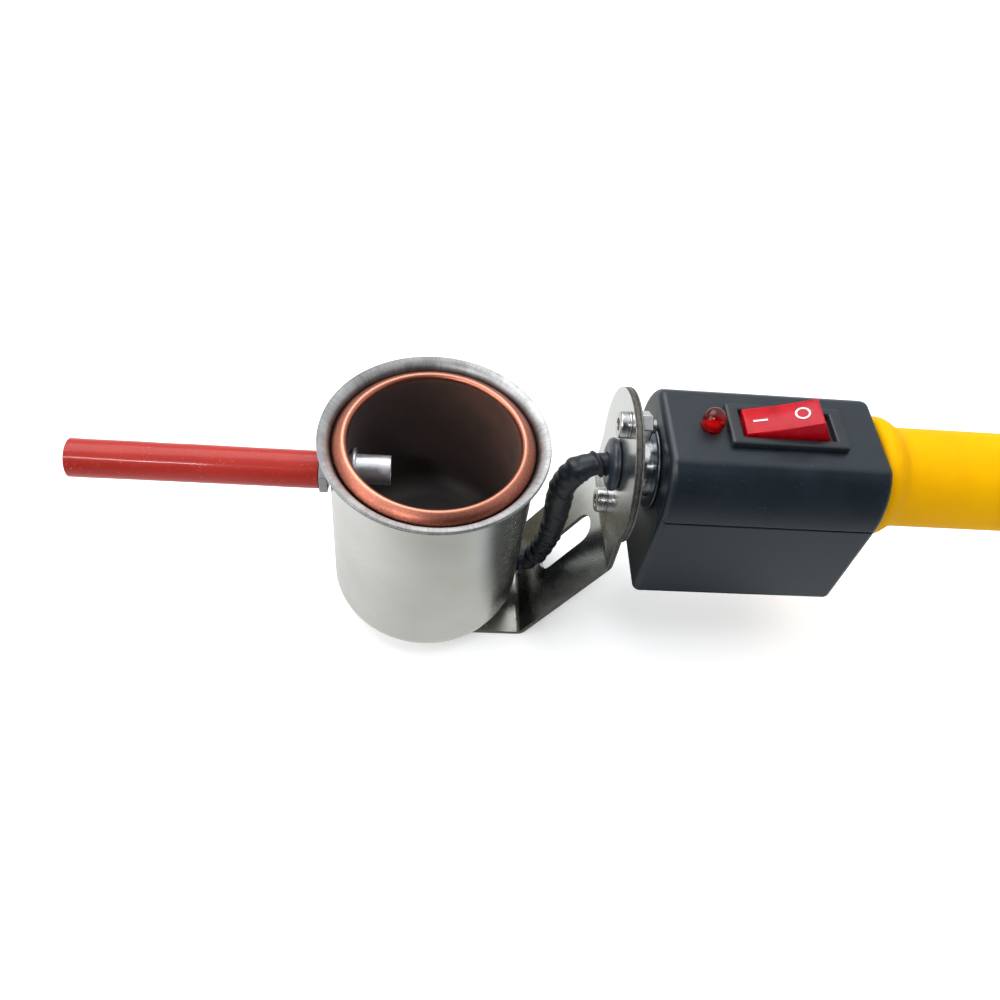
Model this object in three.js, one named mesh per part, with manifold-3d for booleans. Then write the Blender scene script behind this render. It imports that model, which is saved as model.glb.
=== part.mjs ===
// Hand-held electric vaporiser: a heated copper crucible in a stainless cup, a bent steel
// bracket, a switch box and a rubber grip. Millimetres, +Z up. The origin is on the underside
// of the bracket's foot, on the cup's axis, and +X runs along the handle.
import * as THREE from 'three';
import { mergeVertices } from 'three/addons/utils/BufferGeometryUtils.js';
import Module from 'manifold-3d';

const wasm = await Module();
wasm.setup();

// ---- driving dimensions ----
const GAP = 0.1; // between parts that rest on each other
const FIT = 0.3; // round a part that passes through a hole

const SHEET = 1.3; // bracket sheet
const FOOT_HALF = 19; // half width of the bracket strip
const RISER_FOOT_X = 29.9; // outer corner between foot and riser
const RISER_ANGLE = THREE.MathUtils.degToRad(61.6); // riser above the horizontal
const PLATE_X = 49; // cup side of the round plate
const PLATE_R = 20.9;
const PLATE_Z = 59.5; // centre of the round plates, grommet and neck
const BACK_SHEET = 0.9; // second round plate
const SLOT_START = 12.6; // along the riser from the foot's corner
const SLOT_LENGTH = 25;
const SLOT_HALF = 4.4;

const RIM_Z = 66.4;
const SHELL_R = 27.4;
const SHELL_WALL = 0.9;
const SHELL_FILLET = 8.3;
const SHELL_Z = SHEET + GAP; // underside of the cup
const FLARE_R = 4; // outer radius of the flare under the rim
const FLARE_ANGLE = THREE.MathUtils.degToRad(105);

const CRUCIBLE_R = 24.4;
const CRUCIBLE_BORE = 22.4;
const CRUCIBLE_Z = 13.4; // underside
const CRUCIBLE_FLOOR = 20;
const CRUCIBLE_FILLET = 6;
const CRUCIBLE_CHAMFER = 4;
const CRUCIBLE_LIP = { r: 24.55, z: 64.1, halfWidth: 2.15, halfHeight: 2.1, neckZ: 60.5 };

const SUPPORT_CIRCLE = 15; // three screws hold the cup on the foot
const SUPPORT_ANGLES = [60, 180, 300];
const FOOT_SCREW = { headR: 2.6, r: 1.4, head: 1.25, top: 11 };
const SPACER = { r: 3, bore: 1.6 };
const HEATER = { inner: CRUCIBLE_R + 0.15, outer: 25.5, from: 23, to: 44, gapHalf: 2 };
const WRAP = { inner: 25.7, outer: 26.3, from: 20, to: 58 };
const PAD = { r: 18.4, from: 2.4, to: 5.4 };
const THERMOSTAT = { r: 8, canR: 6.6, from: 5.6, flange: 9.8, to: 12.6 };

const NOZZLE_Z = 51;
const NOZZLE_R = 4;
const NOZZLE_BORE = 3;
const NOZZLE_IN = -11.3; // inner end, over the crucible's floor
const NOZZLE_OUT = -90;
const SLEEVE_R = 5.1;
const SLEEVE_START = -30.2;
const SLEEVE_END = -94.6;
const FLANGE = { x: -21.4, r: 5.6, width: 0.8 }; // collar inside the crucible's wall
const CLAMP_NUT = { r: 6.1, from: -30, to: -27.8 };
const WALLS = { from: -32, to: -18 }; // span of the nozzle's hole through cup and crucible

const LEAD_R = 3.2;
const LEAD_HOLE_Z = 12.4;
const BUSH = { r: 5, from: 27.7, to: 28.8 };

const SCREW_CIRCLE = 15.6; // plate screws above and below the grommet
const PLATE_SCREW = { r: 1.9, headR: 3.5, headFrom: 46.1, headTo: 48.3, end: 55.8, socketR: 1.5 };
const WASHER = { inner: 2.1, outer: 3.6, from: 48.4, to: 48.9 };
const NUT = { r: 4.05, crown: 3.4, shoulder: 54.2, end: 54.6, bore: 2.05 };
const GROMMET = { neck: 5, flange: 7.2, back: 6.4, start: 46.4, end: 53.2 };
const NECK_R = 8;
const NECK_BORE = 6.9;
const NECK_END = 66;
const COLLAR = { from: 57.1, to: 57.9, slim: 11, wide: 11.6 };
const NECK_LOCK = { r: 11, to: 63.4 };

const BOX_START = 58.1;
const BOX_END = 116.2;
const BOX_TOP = 76.5;
const BOX_SPLIT = 60.5;
const BOX_BOTTOM = 26.9;
const BOX_WALL = 2.2;
const BOX_HALF = 20; // half width at the split line
const BOX_TOP_HALF = 12.1;
const BOX_ARC = 18; // height of the elliptical side above the split line
const BOX_CORNER = 2.8;
const BOX_BEVEL = 2;
const BOSS = { r: 3, inset: 5.6, y: 15.4, counterbore: 2.9, counterboreTop: 31, bore: 1.5, boreTop: 67 };
const BOARD_RIB = { places: [70, 102], width: 2, half: 13, top: 40.9 };
const BOX_SCREW = { headR: 2.5, r: 1.3, from: 28.5, shoulder: 30.8, to: 66, driveR: 1, driveTop: 29.4 };

const SWITCH_X = 89.65;
const BEZEL = { length: 31, width: 14, height: 1.9 };
const WELL = { length: 24.4, width: 9.2, floor: 66.5 };
const SWITCH_BODY = { length: 27, width: 11.8, bottom: 62 };
const ROCKER_HALF_WIDTH = 4.3;
const ROCKER_REST = THREE.MathUtils.degToRad(16.9); // one end pressed in
const PIVOT_Z = 74;
const PIVOT_R = 1.4;
const TRUNNION_HALF = 5.7; // half length over both trunnions
const TERMINAL = { pitch: 8.5, thickness: 0.8, half: 2.4, from: 54 };

const LAMP_X = 70.2;
const LAMP_R = 3;
const LAMP_DOME_Z = 79.2;
const LAMP_RIM = { r: 3.7, from: 72.4, to: 74 };
const LAMP_LEG = { offset: 1.3, half: 0.25, from: 65 };

const BOARD = { x0: 67.4, x1: 106, half: 15.4, z0: 41, z1: 42.6 };
const PART_Z = BOARD.z1 + GAP; // components sit on the board

const HANDLE_Z = 60.4;
const TUBE_R = 10.8; // stiff core of the grip
const TUBE_BORE = 9.4;
const TUBE_START = 108.5;
const GRIP_START = 116.5;
const GRIP_END = 220;
const GRIP_R = 13.6;
const BEAD_R = 16.4;
const BEAD_X = GRIP_START + 2.4;
const TAIL_R = 15; // swelling at the rear of the grip
const LOCK_RING = { r: 12.2, from: 110.6 };
const CAP = { plug: 8, bore: 4.2, r: 13, length: 4 };
const GLAND = { bore: 3.2, r: 7, nose: 4.8, length: 9 };

// ---- finishes ----
const finish = (color, roughness, metalness) => () =>
  new THREE.MeshStandardMaterial({ color, roughness, metalness });
const stainless = finish(0xc4c5c0, 0.35, 1);
const chrome = finish(0xdde0e2, 0.08, 1);
const zincSteel = finish(0xc9ccce, 0.25, 1);
const copper = finish(0xc47a5c, 0.35, 1);
const brassBlade = finish(0xc9a54c, 0.3, 1);
const redSleeve = finish(0xc23a33, 0.3, 0);
const blackPlastic = finish(0x30363b, 0.45, 0);
const blackRubber = finish(0x1c2026, 0.55, 0);
const yellowRubber = finish(0xf2b000, 0.6, 0);
const redLens = finish(0xc40d1e, 0.1, 0);
const whiteCeramic = finish(0xe8e4da, 0.8, 0);
const mica = finish(0xb9a77c, 0.6, 0);
const boardGreen = finish(0x1f5a35, 0.5, 0);
const blueCase = finish(0x2356a8, 0.4, 0);
const wireRed = finish(0xb02020, 0.4, 0);

// ---- solids ----
const part = new THREE.Group();

// Welds shared corners, drops triangles without area and turns the faces outwards.
function weld(source) {
  const bare = source.clone();
  bare.deleteAttribute('normal');
  bare.deleteAttribute('uv');
  const merged = mergeVertices(bare, 1e-4);
  const position = merged.attributes.position;
  const index = merged.index.array;
  const kept = [];
  let volume = 0;
  const corner = [new THREE.Vector3(), new THREE.Vector3(), new THREE.Vector3()];
  for (let i = 0; i < index.length; i += 3) {
    const [a, b, c] = [index[i], index[i + 1], index[i + 2]];
    if (a === b || b === c || c === a) continue;
    [a, b, c].forEach((id, k) => corner[k].fromBufferAttribute(position, id));
    volume += corner[0].dot(corner[1].clone().cross(corner[2]));
    kept.push(a, b, c);
  }
  if (volume < 0) kept.reverse();
  merged.setIndex(kept);
  return merged;
}

const solid = (source) => {
  const closed = weld(source);
  return new wasm.Manifold(new wasm.Mesh({
    numProp: 3,
    vertProperties: Float32Array.from(closed.attributes.position.array),
    triVerts: Uint32Array.from(closed.index.array),
  }));
};

function surface(body) {
  const mesh = body.getMesh();
  const geometry = new THREE.BufferGeometry();
  geometry.setAttribute('position', new THREE.BufferAttribute(mesh.vertProperties, 3));
  geometry.setIndex(new THREE.BufferAttribute(mesh.triVerts, 1));
  geometry.computeVertexNormals();
  return geometry;
}

const cut = (body, tools) => tools.reduce((left, tool) => left.subtract(tool), body);
const join = (bodies) => bodies.reduce((sum, next) => sum.add(next));

function add(name, shape, material) {
  const isGeometry = shape.isBufferGeometry === true;
  const mesh = new THREE.Mesh(isGeometry ? weld(shape) : surface(shape), material());
  mesh.name = name;
  part.add(mesh);
  return mesh;
}

// ---- shapes ----
const v2 = (pairs) => pairs.map(([x, y]) => new THREE.Vector2(x, y));

// Points of an arc round (cx, cy), both ends included.
function arc(cx, cy, rx, ry, from, to, steps) {
  return Array.from({ length: steps + 1 }, (_, i) => {
    const angle = from + ((to - from) * i) / steps;
    return [cx + rx * Math.cos(angle), cy + ry * Math.sin(angle)];
  });
}

const turnedZ = (pairs, segments) => new THREE.LatheGeometry(v2(pairs), segments).rotateX(Math.PI / 2);
const turnedX = (pairs, segments) => new THREE.LatheGeometry(v2(pairs), segments).rotateZ(-Math.PI / 2);

const rodX = (radius, from, to, y, z, segments) =>
  new THREE.CylinderGeometry(radius, radius, to - from, segments)
    .rotateZ(-Math.PI / 2)
    .translate((from + to) / 2, y, z);
const rodY = (radius, half, x, z, segments) =>
  new THREE.CylinderGeometry(radius, radius, 2 * half, segments).translate(x, 0, z);
const rodZ = (radius, from, to, x, y, segments) =>
  new THREE.CylinderGeometry(radius, radius, to - from, segments)
    .rotateX(Math.PI / 2)
    .translate(x, y, (from + to) / 2);
const block = (x0, x1, y0, y1, z0, z1) =>
  new THREE.BoxGeometry(x1 - x0, y1 - y0, z1 - z0)
    .translate((x0 + x1) / 2, (y0 + y1) / 2, (z0 + z1) / 2);

// Ring along X with a square section.
const ringX = (inner, outer, from, to, z, segments) =>
  turnedX([[inner, from], [outer, from], [outer, to], [inner, to], [inner, from]], segments)
    .translate(0, 0, z);

// Outline given as (x, z), extruded across Y from -half to half.
const acrossY = (pairs, half) =>
  new THREE.ExtrudeGeometry(new THREE.Shape(v2(pairs)), { depth: 2 * half, bevelEnabled: false })
    .rotateX(Math.PI / 2)
    .translate(0, half, 0);

// Outline given as (y, z), extruded along X with bevelled ends.
function alongX(pairs, from, to, bevel) {
  const shape = new THREE.Shape(v2(pairs));
  const options = bevel > 0
    ? { depth: to - from - 2 * bevel, bevelSize: bevel, bevelThickness: bevel,
        bevelOffset: -bevel, bevelSegments: 3 }
    : { depth: to - from, bevelEnabled: false };
  const geometry = new THREE.ExtrudeGeometry(shape, options);
  const turn = new THREE.Matrix4().makeBasis(
    new THREE.Vector3(0, 1, 0), new THREE.Vector3(0, 0, 1), new THREE.Vector3(1, 0, 0));
  return geometry.applyMatrix4(turn).translate(from + bevel, 0, 0);
}

function wire(points, radius, sides, steps) {
  const curve = new THREE.CatmullRomCurve3(points.map((p) => new THREE.Vector3(...p)));
  const section = new THREE.Shape(v2(arc(0, 0, radius, radius, 0, 2 * Math.PI, sides).slice(0, sides)));
  return new THREE.ExtrudeGeometry(section, { steps, extrudePath: curve, bevelEnabled: false });
}

// ---- cup ----
const nozzleHole = (radius) => solid(rodX(radius, WALLS.from, WALLS.to, 0, NOZZLE_Z, 24));
const supports = SUPPORT_ANGLES.map((degrees) => {
  const angle = THREE.MathUtils.degToRad(degrees);
  return { x: SUPPORT_CIRCLE * Math.cos(angle), y: SUPPORT_CIRCLE * Math.sin(angle) };
});

function cupShell() {
  const bore = SHELL_R - SHELL_WALL;
  const corner = [SHELL_R - SHELL_FILLET, SHELL_Z + SHELL_FILLET];
  const flare = [SHELL_R + FLARE_R, RIM_Z - (FLARE_R + SHELL_WALL) * Math.sin(FLARE_ANGLE)];
  const inner = SHELL_FILLET - SHELL_WALL;
  const lip = FLARE_R + SHELL_WALL;
  const profile = [
    [0, SHELL_Z],
    ...arc(...corner, SHELL_FILLET, SHELL_FILLET, -Math.PI / 2, 0, 4),
    ...arc(...flare, FLARE_R, FLARE_R, Math.PI, FLARE_ANGLE, 3),
    ...arc(...flare, lip, lip, FLARE_ANGLE, Math.PI, 3),
    [bore, corner[1]],
    ...arc(...corner, inner, inner, 0, -Math.PI / 2, 4).slice(1),
    [0, SHELL_Z + SHELL_WALL],
  ];
  const leadHole = solid(rodX(LEAD_R + FIT, SHELL_R - 5, SHELL_R + 5, 0, LEAD_HOLE_Z, 20));
  const screwHoles = supports.map((at) =>
    solid(rodZ(FOOT_SCREW.r + FIT, 0, PAD.from + 1, at.x, at.y, 12)));
  const drawn = solid(turnedZ(profile, 48));
  return cut(drawn, [nozzleHole(NOZZLE_R + FIT), leadHole, ...screwHoles]);
}

// Thick-bottomed bowl with a rolled lip.
function crucible() {
  const corner = [CRUCIBLE_BORE - CRUCIBLE_FILLET, CRUCIBLE_FLOOR + CRUCIBLE_FILLET];
  const lip = CRUCIBLE_LIP;
  const profile = [
    [0, CRUCIBLE_Z],
    [CRUCIBLE_R - CRUCIBLE_CHAMFER, CRUCIBLE_Z],
    [CRUCIBLE_R, CRUCIBLE_Z + CRUCIBLE_CHAMFER],
    [CRUCIBLE_R, lip.neckZ],
    ...arc(lip.r, lip.z, lip.halfWidth, lip.halfHeight, -Math.PI / 5, Math.PI, 7),
    ...arc(...corner, CRUCIBLE_FILLET, CRUCIBLE_FILLET, 0, -Math.PI / 2, 4),
    [0, CRUCIBLE_FLOOR],
  ];
  return solid(turnedZ(profile, 40)).subtract(nozzleHole(NOZZLE_R + FIT));
}

const hoop = ({ inner, outer, from, to }, segments) =>
  turnedZ([[inner, from], [outer, from], [outer, to], [inner, to], [inner, from]], segments);

// Band heater, open at the side where its two ends are pulled together.
function heaterBand() {
  const gap = block(HEATER.inner - 4, HEATER.outer + 4, -HEATER.gapHalf, HEATER.gapHalf,
    HEATER.from - 1, HEATER.to + 1);
  return solid(hoop(HEATER, 36)).subtract(solid(gap));
}

function insulationWrap() {
  return solid(hoop(WRAP, 36)).subtract(nozzleHole(NOZZLE_R + 1));
}

function insulationPad() {
  const disc = solid(rodZ(PAD.r, PAD.from, PAD.to, 0, 0, 28));
  const around = SPACER.r + 0.5;
  return cut(disc, supports.map((at) => solid(rodZ(around, PAD.from - 1, PAD.to + 1, at.x, at.y, 12))));
}

// Disc thermostat that senses the crucible's underside.
function thermostat() {
  const { r, canR, from, flange, to } = THERMOSTAT;
  const profile = [
    [0, from],
    [canR, from],
    [canR, flange],
    [r, flange],
    [r, flange + 1],
    [r - 1, to],
    [0, to],
  ];
  return turnedZ(profile, 24);
}

function ceramicSpacer(at) {
  const bottom = SHELL_Z + SHELL_WALL + GAP;
  const post = solid(rodZ(SPACER.r, bottom, CRUCIBLE_Z - GAP, at.x, at.y, 14));
  return post.subtract(solid(rodZ(SPACER.bore, 0, FOOT_SCREW.top + 1, at.x, at.y, 12)));
}

// Countersunk screw, flush with the foot's underside.
function footScrew(at) {
  const { headR, r, head, top } = FOOT_SCREW;
  return turnedZ([[0, GAP], [headR, GAP], [r, head], [r, top], [0, top]], 14).translate(at.x, at.y, 0);
}

// ---- nozzle ----
function nozzlePipe() {
  const flangeEnd = FLANGE.x + FLANGE.width;
  const profile = [
    [NOZZLE_BORE, NOZZLE_OUT],
    [NOZZLE_R, NOZZLE_OUT],
    [NOZZLE_R, FLANGE.x],
    [FLANGE.r, FLANGE.x],
    [FLANGE.r, flangeEnd],
    [NOZZLE_R, flangeEnd],
    [NOZZLE_R, NOZZLE_IN],
    [NOZZLE_BORE, NOZZLE_IN],
    [NOZZLE_BORE, NOZZLE_OUT],
  ];
  return turnedX(profile, 24).translate(0, 0, NOZZLE_Z);
}

function nozzleNut() {
  const hexagon = solid(rodX(CLAMP_NUT.r, CLAMP_NUT.from, CLAMP_NUT.to, 0, NOZZLE_Z, 6));
  const bore = rodX(NOZZLE_R + 0.15, CLAMP_NUT.from - 1, CLAMP_NUT.to + 1, 0, NOZZLE_Z, 24);
  return hexagon.subtract(solid(bore));
}

// ---- bracket ----
const riser = new THREE.Vector3(Math.cos(RISER_ANGLE), 0, Math.sin(RISER_ANGLE));
const riserTopZ = (PLATE_X + SHEET - RISER_FOOT_X) * Math.tan(RISER_ANGLE);

// Rounds the corner between two legs with a quadratic curve.
function bend(corner, before, after, reach) {
  const towards = (point) => {
    const length = Math.hypot(point[0] - corner[0], point[1] - corner[1]);
    return [0, 1].map((k) => corner[k] + ((point[k] - corner[k]) * reach) / length);
  };
  const [start, end] = [towards(before), towards(after)];
  return [0, 0.25, 0.5, 0.75, 1].map((t) => [0, 1].map((k) =>
    (1 - t) ** 2 * start[k] + 2 * t * (1 - t) * corner[k] + t * t * end[k]));
}

function bracketStrip() {
  const footTurn = SHEET * Math.tan(RISER_ANGLE / 2);
  const plateTurn = SHEET * Math.tan((Math.PI / 2 - RISER_ANGLE) / 2);
  const outer = [
    [0, 0],
    [RISER_FOOT_X, 0],
    [PLATE_X + SHEET, riserTopZ],
    [PLATE_X + SHEET, PLATE_Z],
  ];
  const inner = [
    [PLATE_X, PLATE_Z],
    [PLATE_X, riserTopZ + plateTurn],
    [RISER_FOOT_X - footTurn, SHEET],
    [0, SHEET],
  ];
  return acrossY([
    outer[0],
    ...bend(outer[1], outer[0], outer[2], 1.9),
    ...bend(outer[2], outer[1], outer[3], 1.6),
    outer[3],
    inner[0],
    ...bend(inner[1], inner[0], inner[2], 1.2),
    ...bend(inner[2], inner[1], inner[3], 1.2),
    inner[3],
  ], FOOT_HALF);
}

function riserSlot() {
  const straight = SLOT_LENGTH / 2 - SLOT_HALF;
  const outline = [
    ...arc(straight, 0, SLOT_HALF, SLOT_HALF, -Math.PI / 2, Math.PI / 2, 8),
    ...arc(-straight, 0, SLOT_HALF, SLOT_HALF, Math.PI / 2, (3 * Math.PI) / 2, 8),
  ];
  const depth = 8;
  const normal = new THREE.Vector3(-riser.z, 0, riser.x);
  const middle = riser.clone().multiplyScalar(SLOT_START + SLOT_LENGTH / 2);
  const place = new THREE.Matrix4().makeBasis(riser, new THREE.Vector3(0, 1, 0), normal);
  return new THREE.ExtrudeGeometry(new THREE.Shape(v2(outline)), { depth, bevelEnabled: false })
    .translate(0, 0, -depth / 2)
    .applyMatrix4(place)
    .translate(RISER_FOOT_X + middle.x, 0, middle.z);
}

// Holes through both round plates for the grommet and the two screws.
const plateHoles = () => {
  const through = (radius, z, segments) =>
    solid(rodX(radius, PLATE_X - 2, PLATE_X + 4, 0, z, segments));
  return [
    through(GROMMET.neck + FIT, PLATE_Z, 20),
    through(PLATE_SCREW.r + FIT, PLATE_Z - SCREW_CIRCLE, 14),
    through(PLATE_SCREW.r + FIT, PLATE_Z + SCREW_CIRCLE, 14),
  ];
};

function countersink(at) {
  const wide = FOOT_SCREW.headR + 2.5 * FIT;
  const narrow = FOOT_SCREW.r + FIT;
  const profile = [[0, -FIT], [wide, -FIT], [narrow, SHEET], [narrow, SHEET + 1], [0, SHEET + 1]];
  return solid(turnedZ(profile, 14).translate(at.x, at.y, 0));
}

function bracket() {
  const body = join([
    solid(bracketStrip()),
    solid(rodZ(FOOT_HALF, 0, SHEET, 0, 0, 40)),
    solid(rodX(PLATE_R, PLATE_X, PLATE_X + SHEET, 0, PLATE_Z, 44)),
  ]);
  return cut(body, [solid(riserSlot()), ...plateHoles(), ...supports.map(countersink)]);
}

function backPlate() {
  const from = PLATE_X + SHEET + GAP;
  return cut(solid(rodX(PLATE_R, from, from + BACK_SHEET, 0, PLATE_Z, 44)), plateHoles());
}

const BACK_FACE = PLATE_X + SHEET + GAP + BACK_SHEET;

function plateGrommet() {
  const bore = LEAD_R + FIT;
  const { neck, flange, back, start, end } = GROMMET;
  const profile = [
    [bore, start],
    [flange - 1, start],
    [flange, start + 0.8],
    [flange, start + 1.8],
    [flange - 0.6, PLATE_X - GAP],
    [neck, PLATE_X - GAP],
    [neck, BACK_FACE + GAP],
    [back, BACK_FACE + GAP],
    [back, end],
    [bore, end],
    [bore, start],
  ];
  return turnedX(profile, 20).translate(0, 0, PLATE_Z);
}

// Hexagon socket screw, with its head towards the cup.
function plateScrew(z) {
  const { r, headR, headFrom, headTo, end, socketR } = PLATE_SCREW;
  const socket = solid(rodX(socketR, headFrom - 1, headFrom + 1.3, 0, z, 6));
  const profile = [
    [0, headFrom],
    [headR - 0.3, headFrom],
    [headR, headFrom + 0.4],
    [headR, headTo],
    [r, headTo],
    [r, end],
    [0, end],
  ];
  return solid(turnedX(profile, 20).translate(0, 0, z)).subtract(socket);
}

function plateNut(z) {
  const start = BACK_FACE + GAP;
  const profile = [[0, start], [NUT.r, start], [NUT.r, NUT.shoulder], [NUT.crown, NUT.end], [0, NUT.end]];
  const hexagon = solid(turnedX(profile, 6).translate(0, 0, z));
  return hexagon.subtract(solid(rodX(NUT.bore, start - 1, NUT.end + 1, 0, z, 14)));
}

// ---- neck ----
function neckTube() {
  return ringX(NECK_BORE, NECK_R, BACK_FACE + GAP, NECK_END, PLATE_Z, 32);
}

// Thin flange that closes the hole round the neck, against the box.
function neckCollar() {
  const bore = NECK_R + 0.15;
  const { from, to, slim, wide } = COLLAR;
  const profile = [
    [bore, from],
    [slim, from],
    [wide, from + 0.3],
    [wide, to],
    [bore, to],
    [bore, from],
  ];
  return turnedX(profile, 28).translate(0, 0, PLATE_Z);
}

// ---- switch box ----
// Box outline as (y, z), shrunk by the wall thickness for the hollow.
function boxOutline(inset) {
  const top = BOX_TOP - inset;
  const half = BOX_HALF - inset;
  const arcHeight = BOX_ARC - inset;
  const rise = Math.asin((top - BOX_SPLIT) / arcHeight);
  const topHalf = BOX_TOP_HALF - 0.6 * inset;
  const arcWidth = (half - topHalf) / (1 - Math.cos(rise));
  const corner = BOX_CORNER - inset / 2;
  const bottom = BOX_BOTTOM + inset;
  const right = [
    ...arc(half - corner, bottom + corner, corner, corner, -Math.PI / 2, 0, 3),
    ...arc(half - arcWidth, BOX_SPLIT, arcWidth, arcHeight, 0, rise, 6),
  ];
  return [...right, ...right.map(([y, z]) => [-y, z]).reverse()];
}

const bossPlaces = [BOX_START + BOSS.inset, BOX_END - BOSS.inset].flatMap((x) =>
  [-BOSS.y, BOSS.y].map((y) => ({ x, y })));

function boxHalves() {
  const outside = solid(alongX(boxOutline(0), BOX_START, BOX_END, BOX_BEVEL));
  const hollow = solid(alongX(boxOutline(BOX_WALL), BOX_START + BOX_WALL, BOX_END - BOX_WALL, 0));
  const inner = BOX_BOTTOM + 1;
  const posts = join([
    ...bossPlaces.map((at) => solid(rodZ(BOSS.r, inner, BOX_TOP, at.x, at.y, 14))),
    ...BOARD_RIB.places.map((x) =>
      solid(block(x, x + BOARD_RIB.width, -BOARD_RIB.half, BOARD_RIB.half, inner, BOARD_RIB.top))),
  ]);
  const topWall = [BOX_TOP - 2 * BOX_WALL, BOX_TOP + 4];
  const cutoutX = SWITCH_BODY.length / 2 + FIT;
  const cutoutY = SWITCH_BODY.width / 2 + FIT;
  const openings = [
    solid(rodX(NECK_R + FIT, BOX_START - 2, BOX_START + 4, 0, PLATE_Z, 28)),
    solid(rodX(TUBE_R + FIT, BOX_END - 4, BOX_END + 2, 0, HANDLE_Z, 28)),
    solid(block(SWITCH_X - cutoutX, SWITCH_X + cutoutX, -cutoutY, cutoutY, ...topWall)),
    solid(rodZ(LAMP_R + 0.15, ...topWall, LAMP_X, 0, 24)),
    ...bossPlaces.flatMap((at) => [
      solid(rodZ(BOSS.counterbore, BOX_BOTTOM - 1, BOSS.counterboreTop, at.x, at.y, 14)),
      solid(rodZ(BOSS.bore, BOSS.counterboreTop - 1, BOSS.boreTop, at.x, at.y, 12)),
    ]),
  ];
  const whole = cut(outside.subtract(hollow).add(posts.intersect(outside)), openings);
  const slab = (z0, z1) =>
    solid(block(BOX_START - 5, BOX_END + 5, -BOX_HALF - 5, BOX_HALF + 5, z0, z1));
  return {
    upper: whole.intersect(slab(BOX_SPLIT + GAP / 2, BOX_TOP + 5)),
    lower: whole.intersect(slab(BOX_BOTTOM - 5, BOX_SPLIT - GAP / 2)),
  };
}

function boxScrew(at) {
  const { headR, r, from, shoulder, to, driveR, driveTop } = BOX_SCREW;
  const recess = solid(rodZ(driveR, from - 1, driveTop, at.x, at.y, 6));
  const profile = [
    [0, from],
    [headR - 0.2, from],
    [headR, from + 0.5],
    [headR, shoulder],
    [r, shoulder],
    [r, to],
    [0, to],
  ];
  return solid(turnedZ(profile, 12).translate(at.x, at.y, 0)).subtract(recess);
}

// Panel switch: bezel on the box, body below it, with a well for the rocker.
function switchHousing() {
  const bezelFoot = BOX_TOP + GAP;
  const bezelTop = bezelFoot + BEZEL.height;
  const edge = 0.4;
  const corners = [[-1, -1], [1, -1], [1, 1], [-1, 1]].map(([x, y]) =>
    [SWITCH_X + (x * BEZEL.length) / 2, (y * BEZEL.width) / 2]);
  const bezel = new THREE.ExtrudeGeometry(new THREE.Shape(v2(corners)), {
    depth: BEZEL.height - edge,
    bevelSize: edge,
    bevelThickness: edge,
    bevelOffset: -edge,
    bevelSegments: 1,
  }).translate(0, 0, bezelFoot);
  const around = ({ length, width }, z0, z1) =>
    block(SWITCH_X - length / 2, SWITCH_X + length / 2, -width / 2, width / 2, z0, z1);
  const belowBezel = around({ length: 2 * BEZEL.length, width: 2 * BEZEL.width }, 0, bezelFoot);
  const body = solid(bezel)
    .subtract(solid(belowBezel))
    .add(solid(around(SWITCH_BODY, SWITCH_BODY.bottom, bezelTop - 1)));
  return cut(body, [
    solid(around(WELL, WELL.floor, bezelTop + 1)),
    solid(rodY(PIVOT_R + FIT, BEZEL.width, SWITCH_X, PIVOT_Z, 16)),
  ]);
}

// The rocker's outline is symmetric about its pivot; it is then tilted to its pressed position.
function rocker() {
  const side = [[5, -5.5], [10.6, -3], [11.4, 1.1], [9.65, 8.1], [5, 7.8]];
  const dip = [0, 7.7];
  const outline = [...side, dip, ...side.map(([x, z]) => [-x, z]).reverse()];
  const paddle = solid(acrossY(outline, ROCKER_HALF_WIDTH));
  const trunnion = solid(rodY(PIVOT_R, TRUNNION_HALF, 0, 0, 16));
  return surface(paddle.add(trunnion)).rotateY(-ROCKER_REST).translate(SWITCH_X, 0, PIVOT_Z);
}

function indicatorLamp() {
  const profile = [
    [0, LAMP_RIM.from],
    [LAMP_RIM.r, LAMP_RIM.from],
    [LAMP_RIM.r, LAMP_RIM.to],
    [LAMP_R, LAMP_RIM.to],
    ...arc(0, LAMP_DOME_Z, LAMP_R, LAMP_R, 0, Math.PI / 2, 6),
  ];
  return turnedZ(profile, 24).translate(LAMP_X, 0, 0);
}

function circuitBoard() {
  return block(BOARD.x0, BOARD.x1, -BOARD.half, BOARD.half, BOARD.z0, BOARD.z1);
}

// ---- handle ----
// Rubber grip: a bead against the box, a plain barrel and a swelling at the rear.
function handleGrip() {
  const bore = TUBE_R + 0.15;
  const profile = [
    [bore, GRIP_START],
    [BEAD_R - 1.8, GRIP_START],
    [BEAD_R - 0.5, BEAD_X - 1.5],
    [BEAD_R, BEAD_X],
    [BEAD_R - 0.3, BEAD_X + 1.6],
    [BEAD_R - 1.4, BEAD_X + 3.4],
    [GRIP_R + 0.3, BEAD_X + 4.8],
    [GRIP_R, BEAD_X + 6.2],
    [GRIP_R, GRIP_END - 6],
    [TAIL_R - 0.4, GRIP_END - 4],
    [TAIL_R, GRIP_END - 2],
    [TAIL_R - 0.8, GRIP_END],
    [bore, GRIP_END],
    [bore, GRIP_START],
  ];
  return turnedX(profile, 32).translate(0, 0, HANDLE_Z);
}

function endCap() {
  const plugR = TUBE_BORE - 0.15;
  const faceX = GRIP_END + FIT;
  const endX = GRIP_END + CAP.length;
  const profile = [
    [CAP.bore, GRIP_END - CAP.plug],
    [plugR, GRIP_END - CAP.plug],
    [plugR, faceX],
    [CAP.r, faceX],
    [CAP.r, endX - 1.6],
    [CAP.r - 1.4, endX],
    [CAP.bore, endX],
    [CAP.bore, GRIP_END - CAP.plug],
  ];
  return turnedX(profile, 28).translate(0, 0, HANDLE_Z);
}

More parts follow.
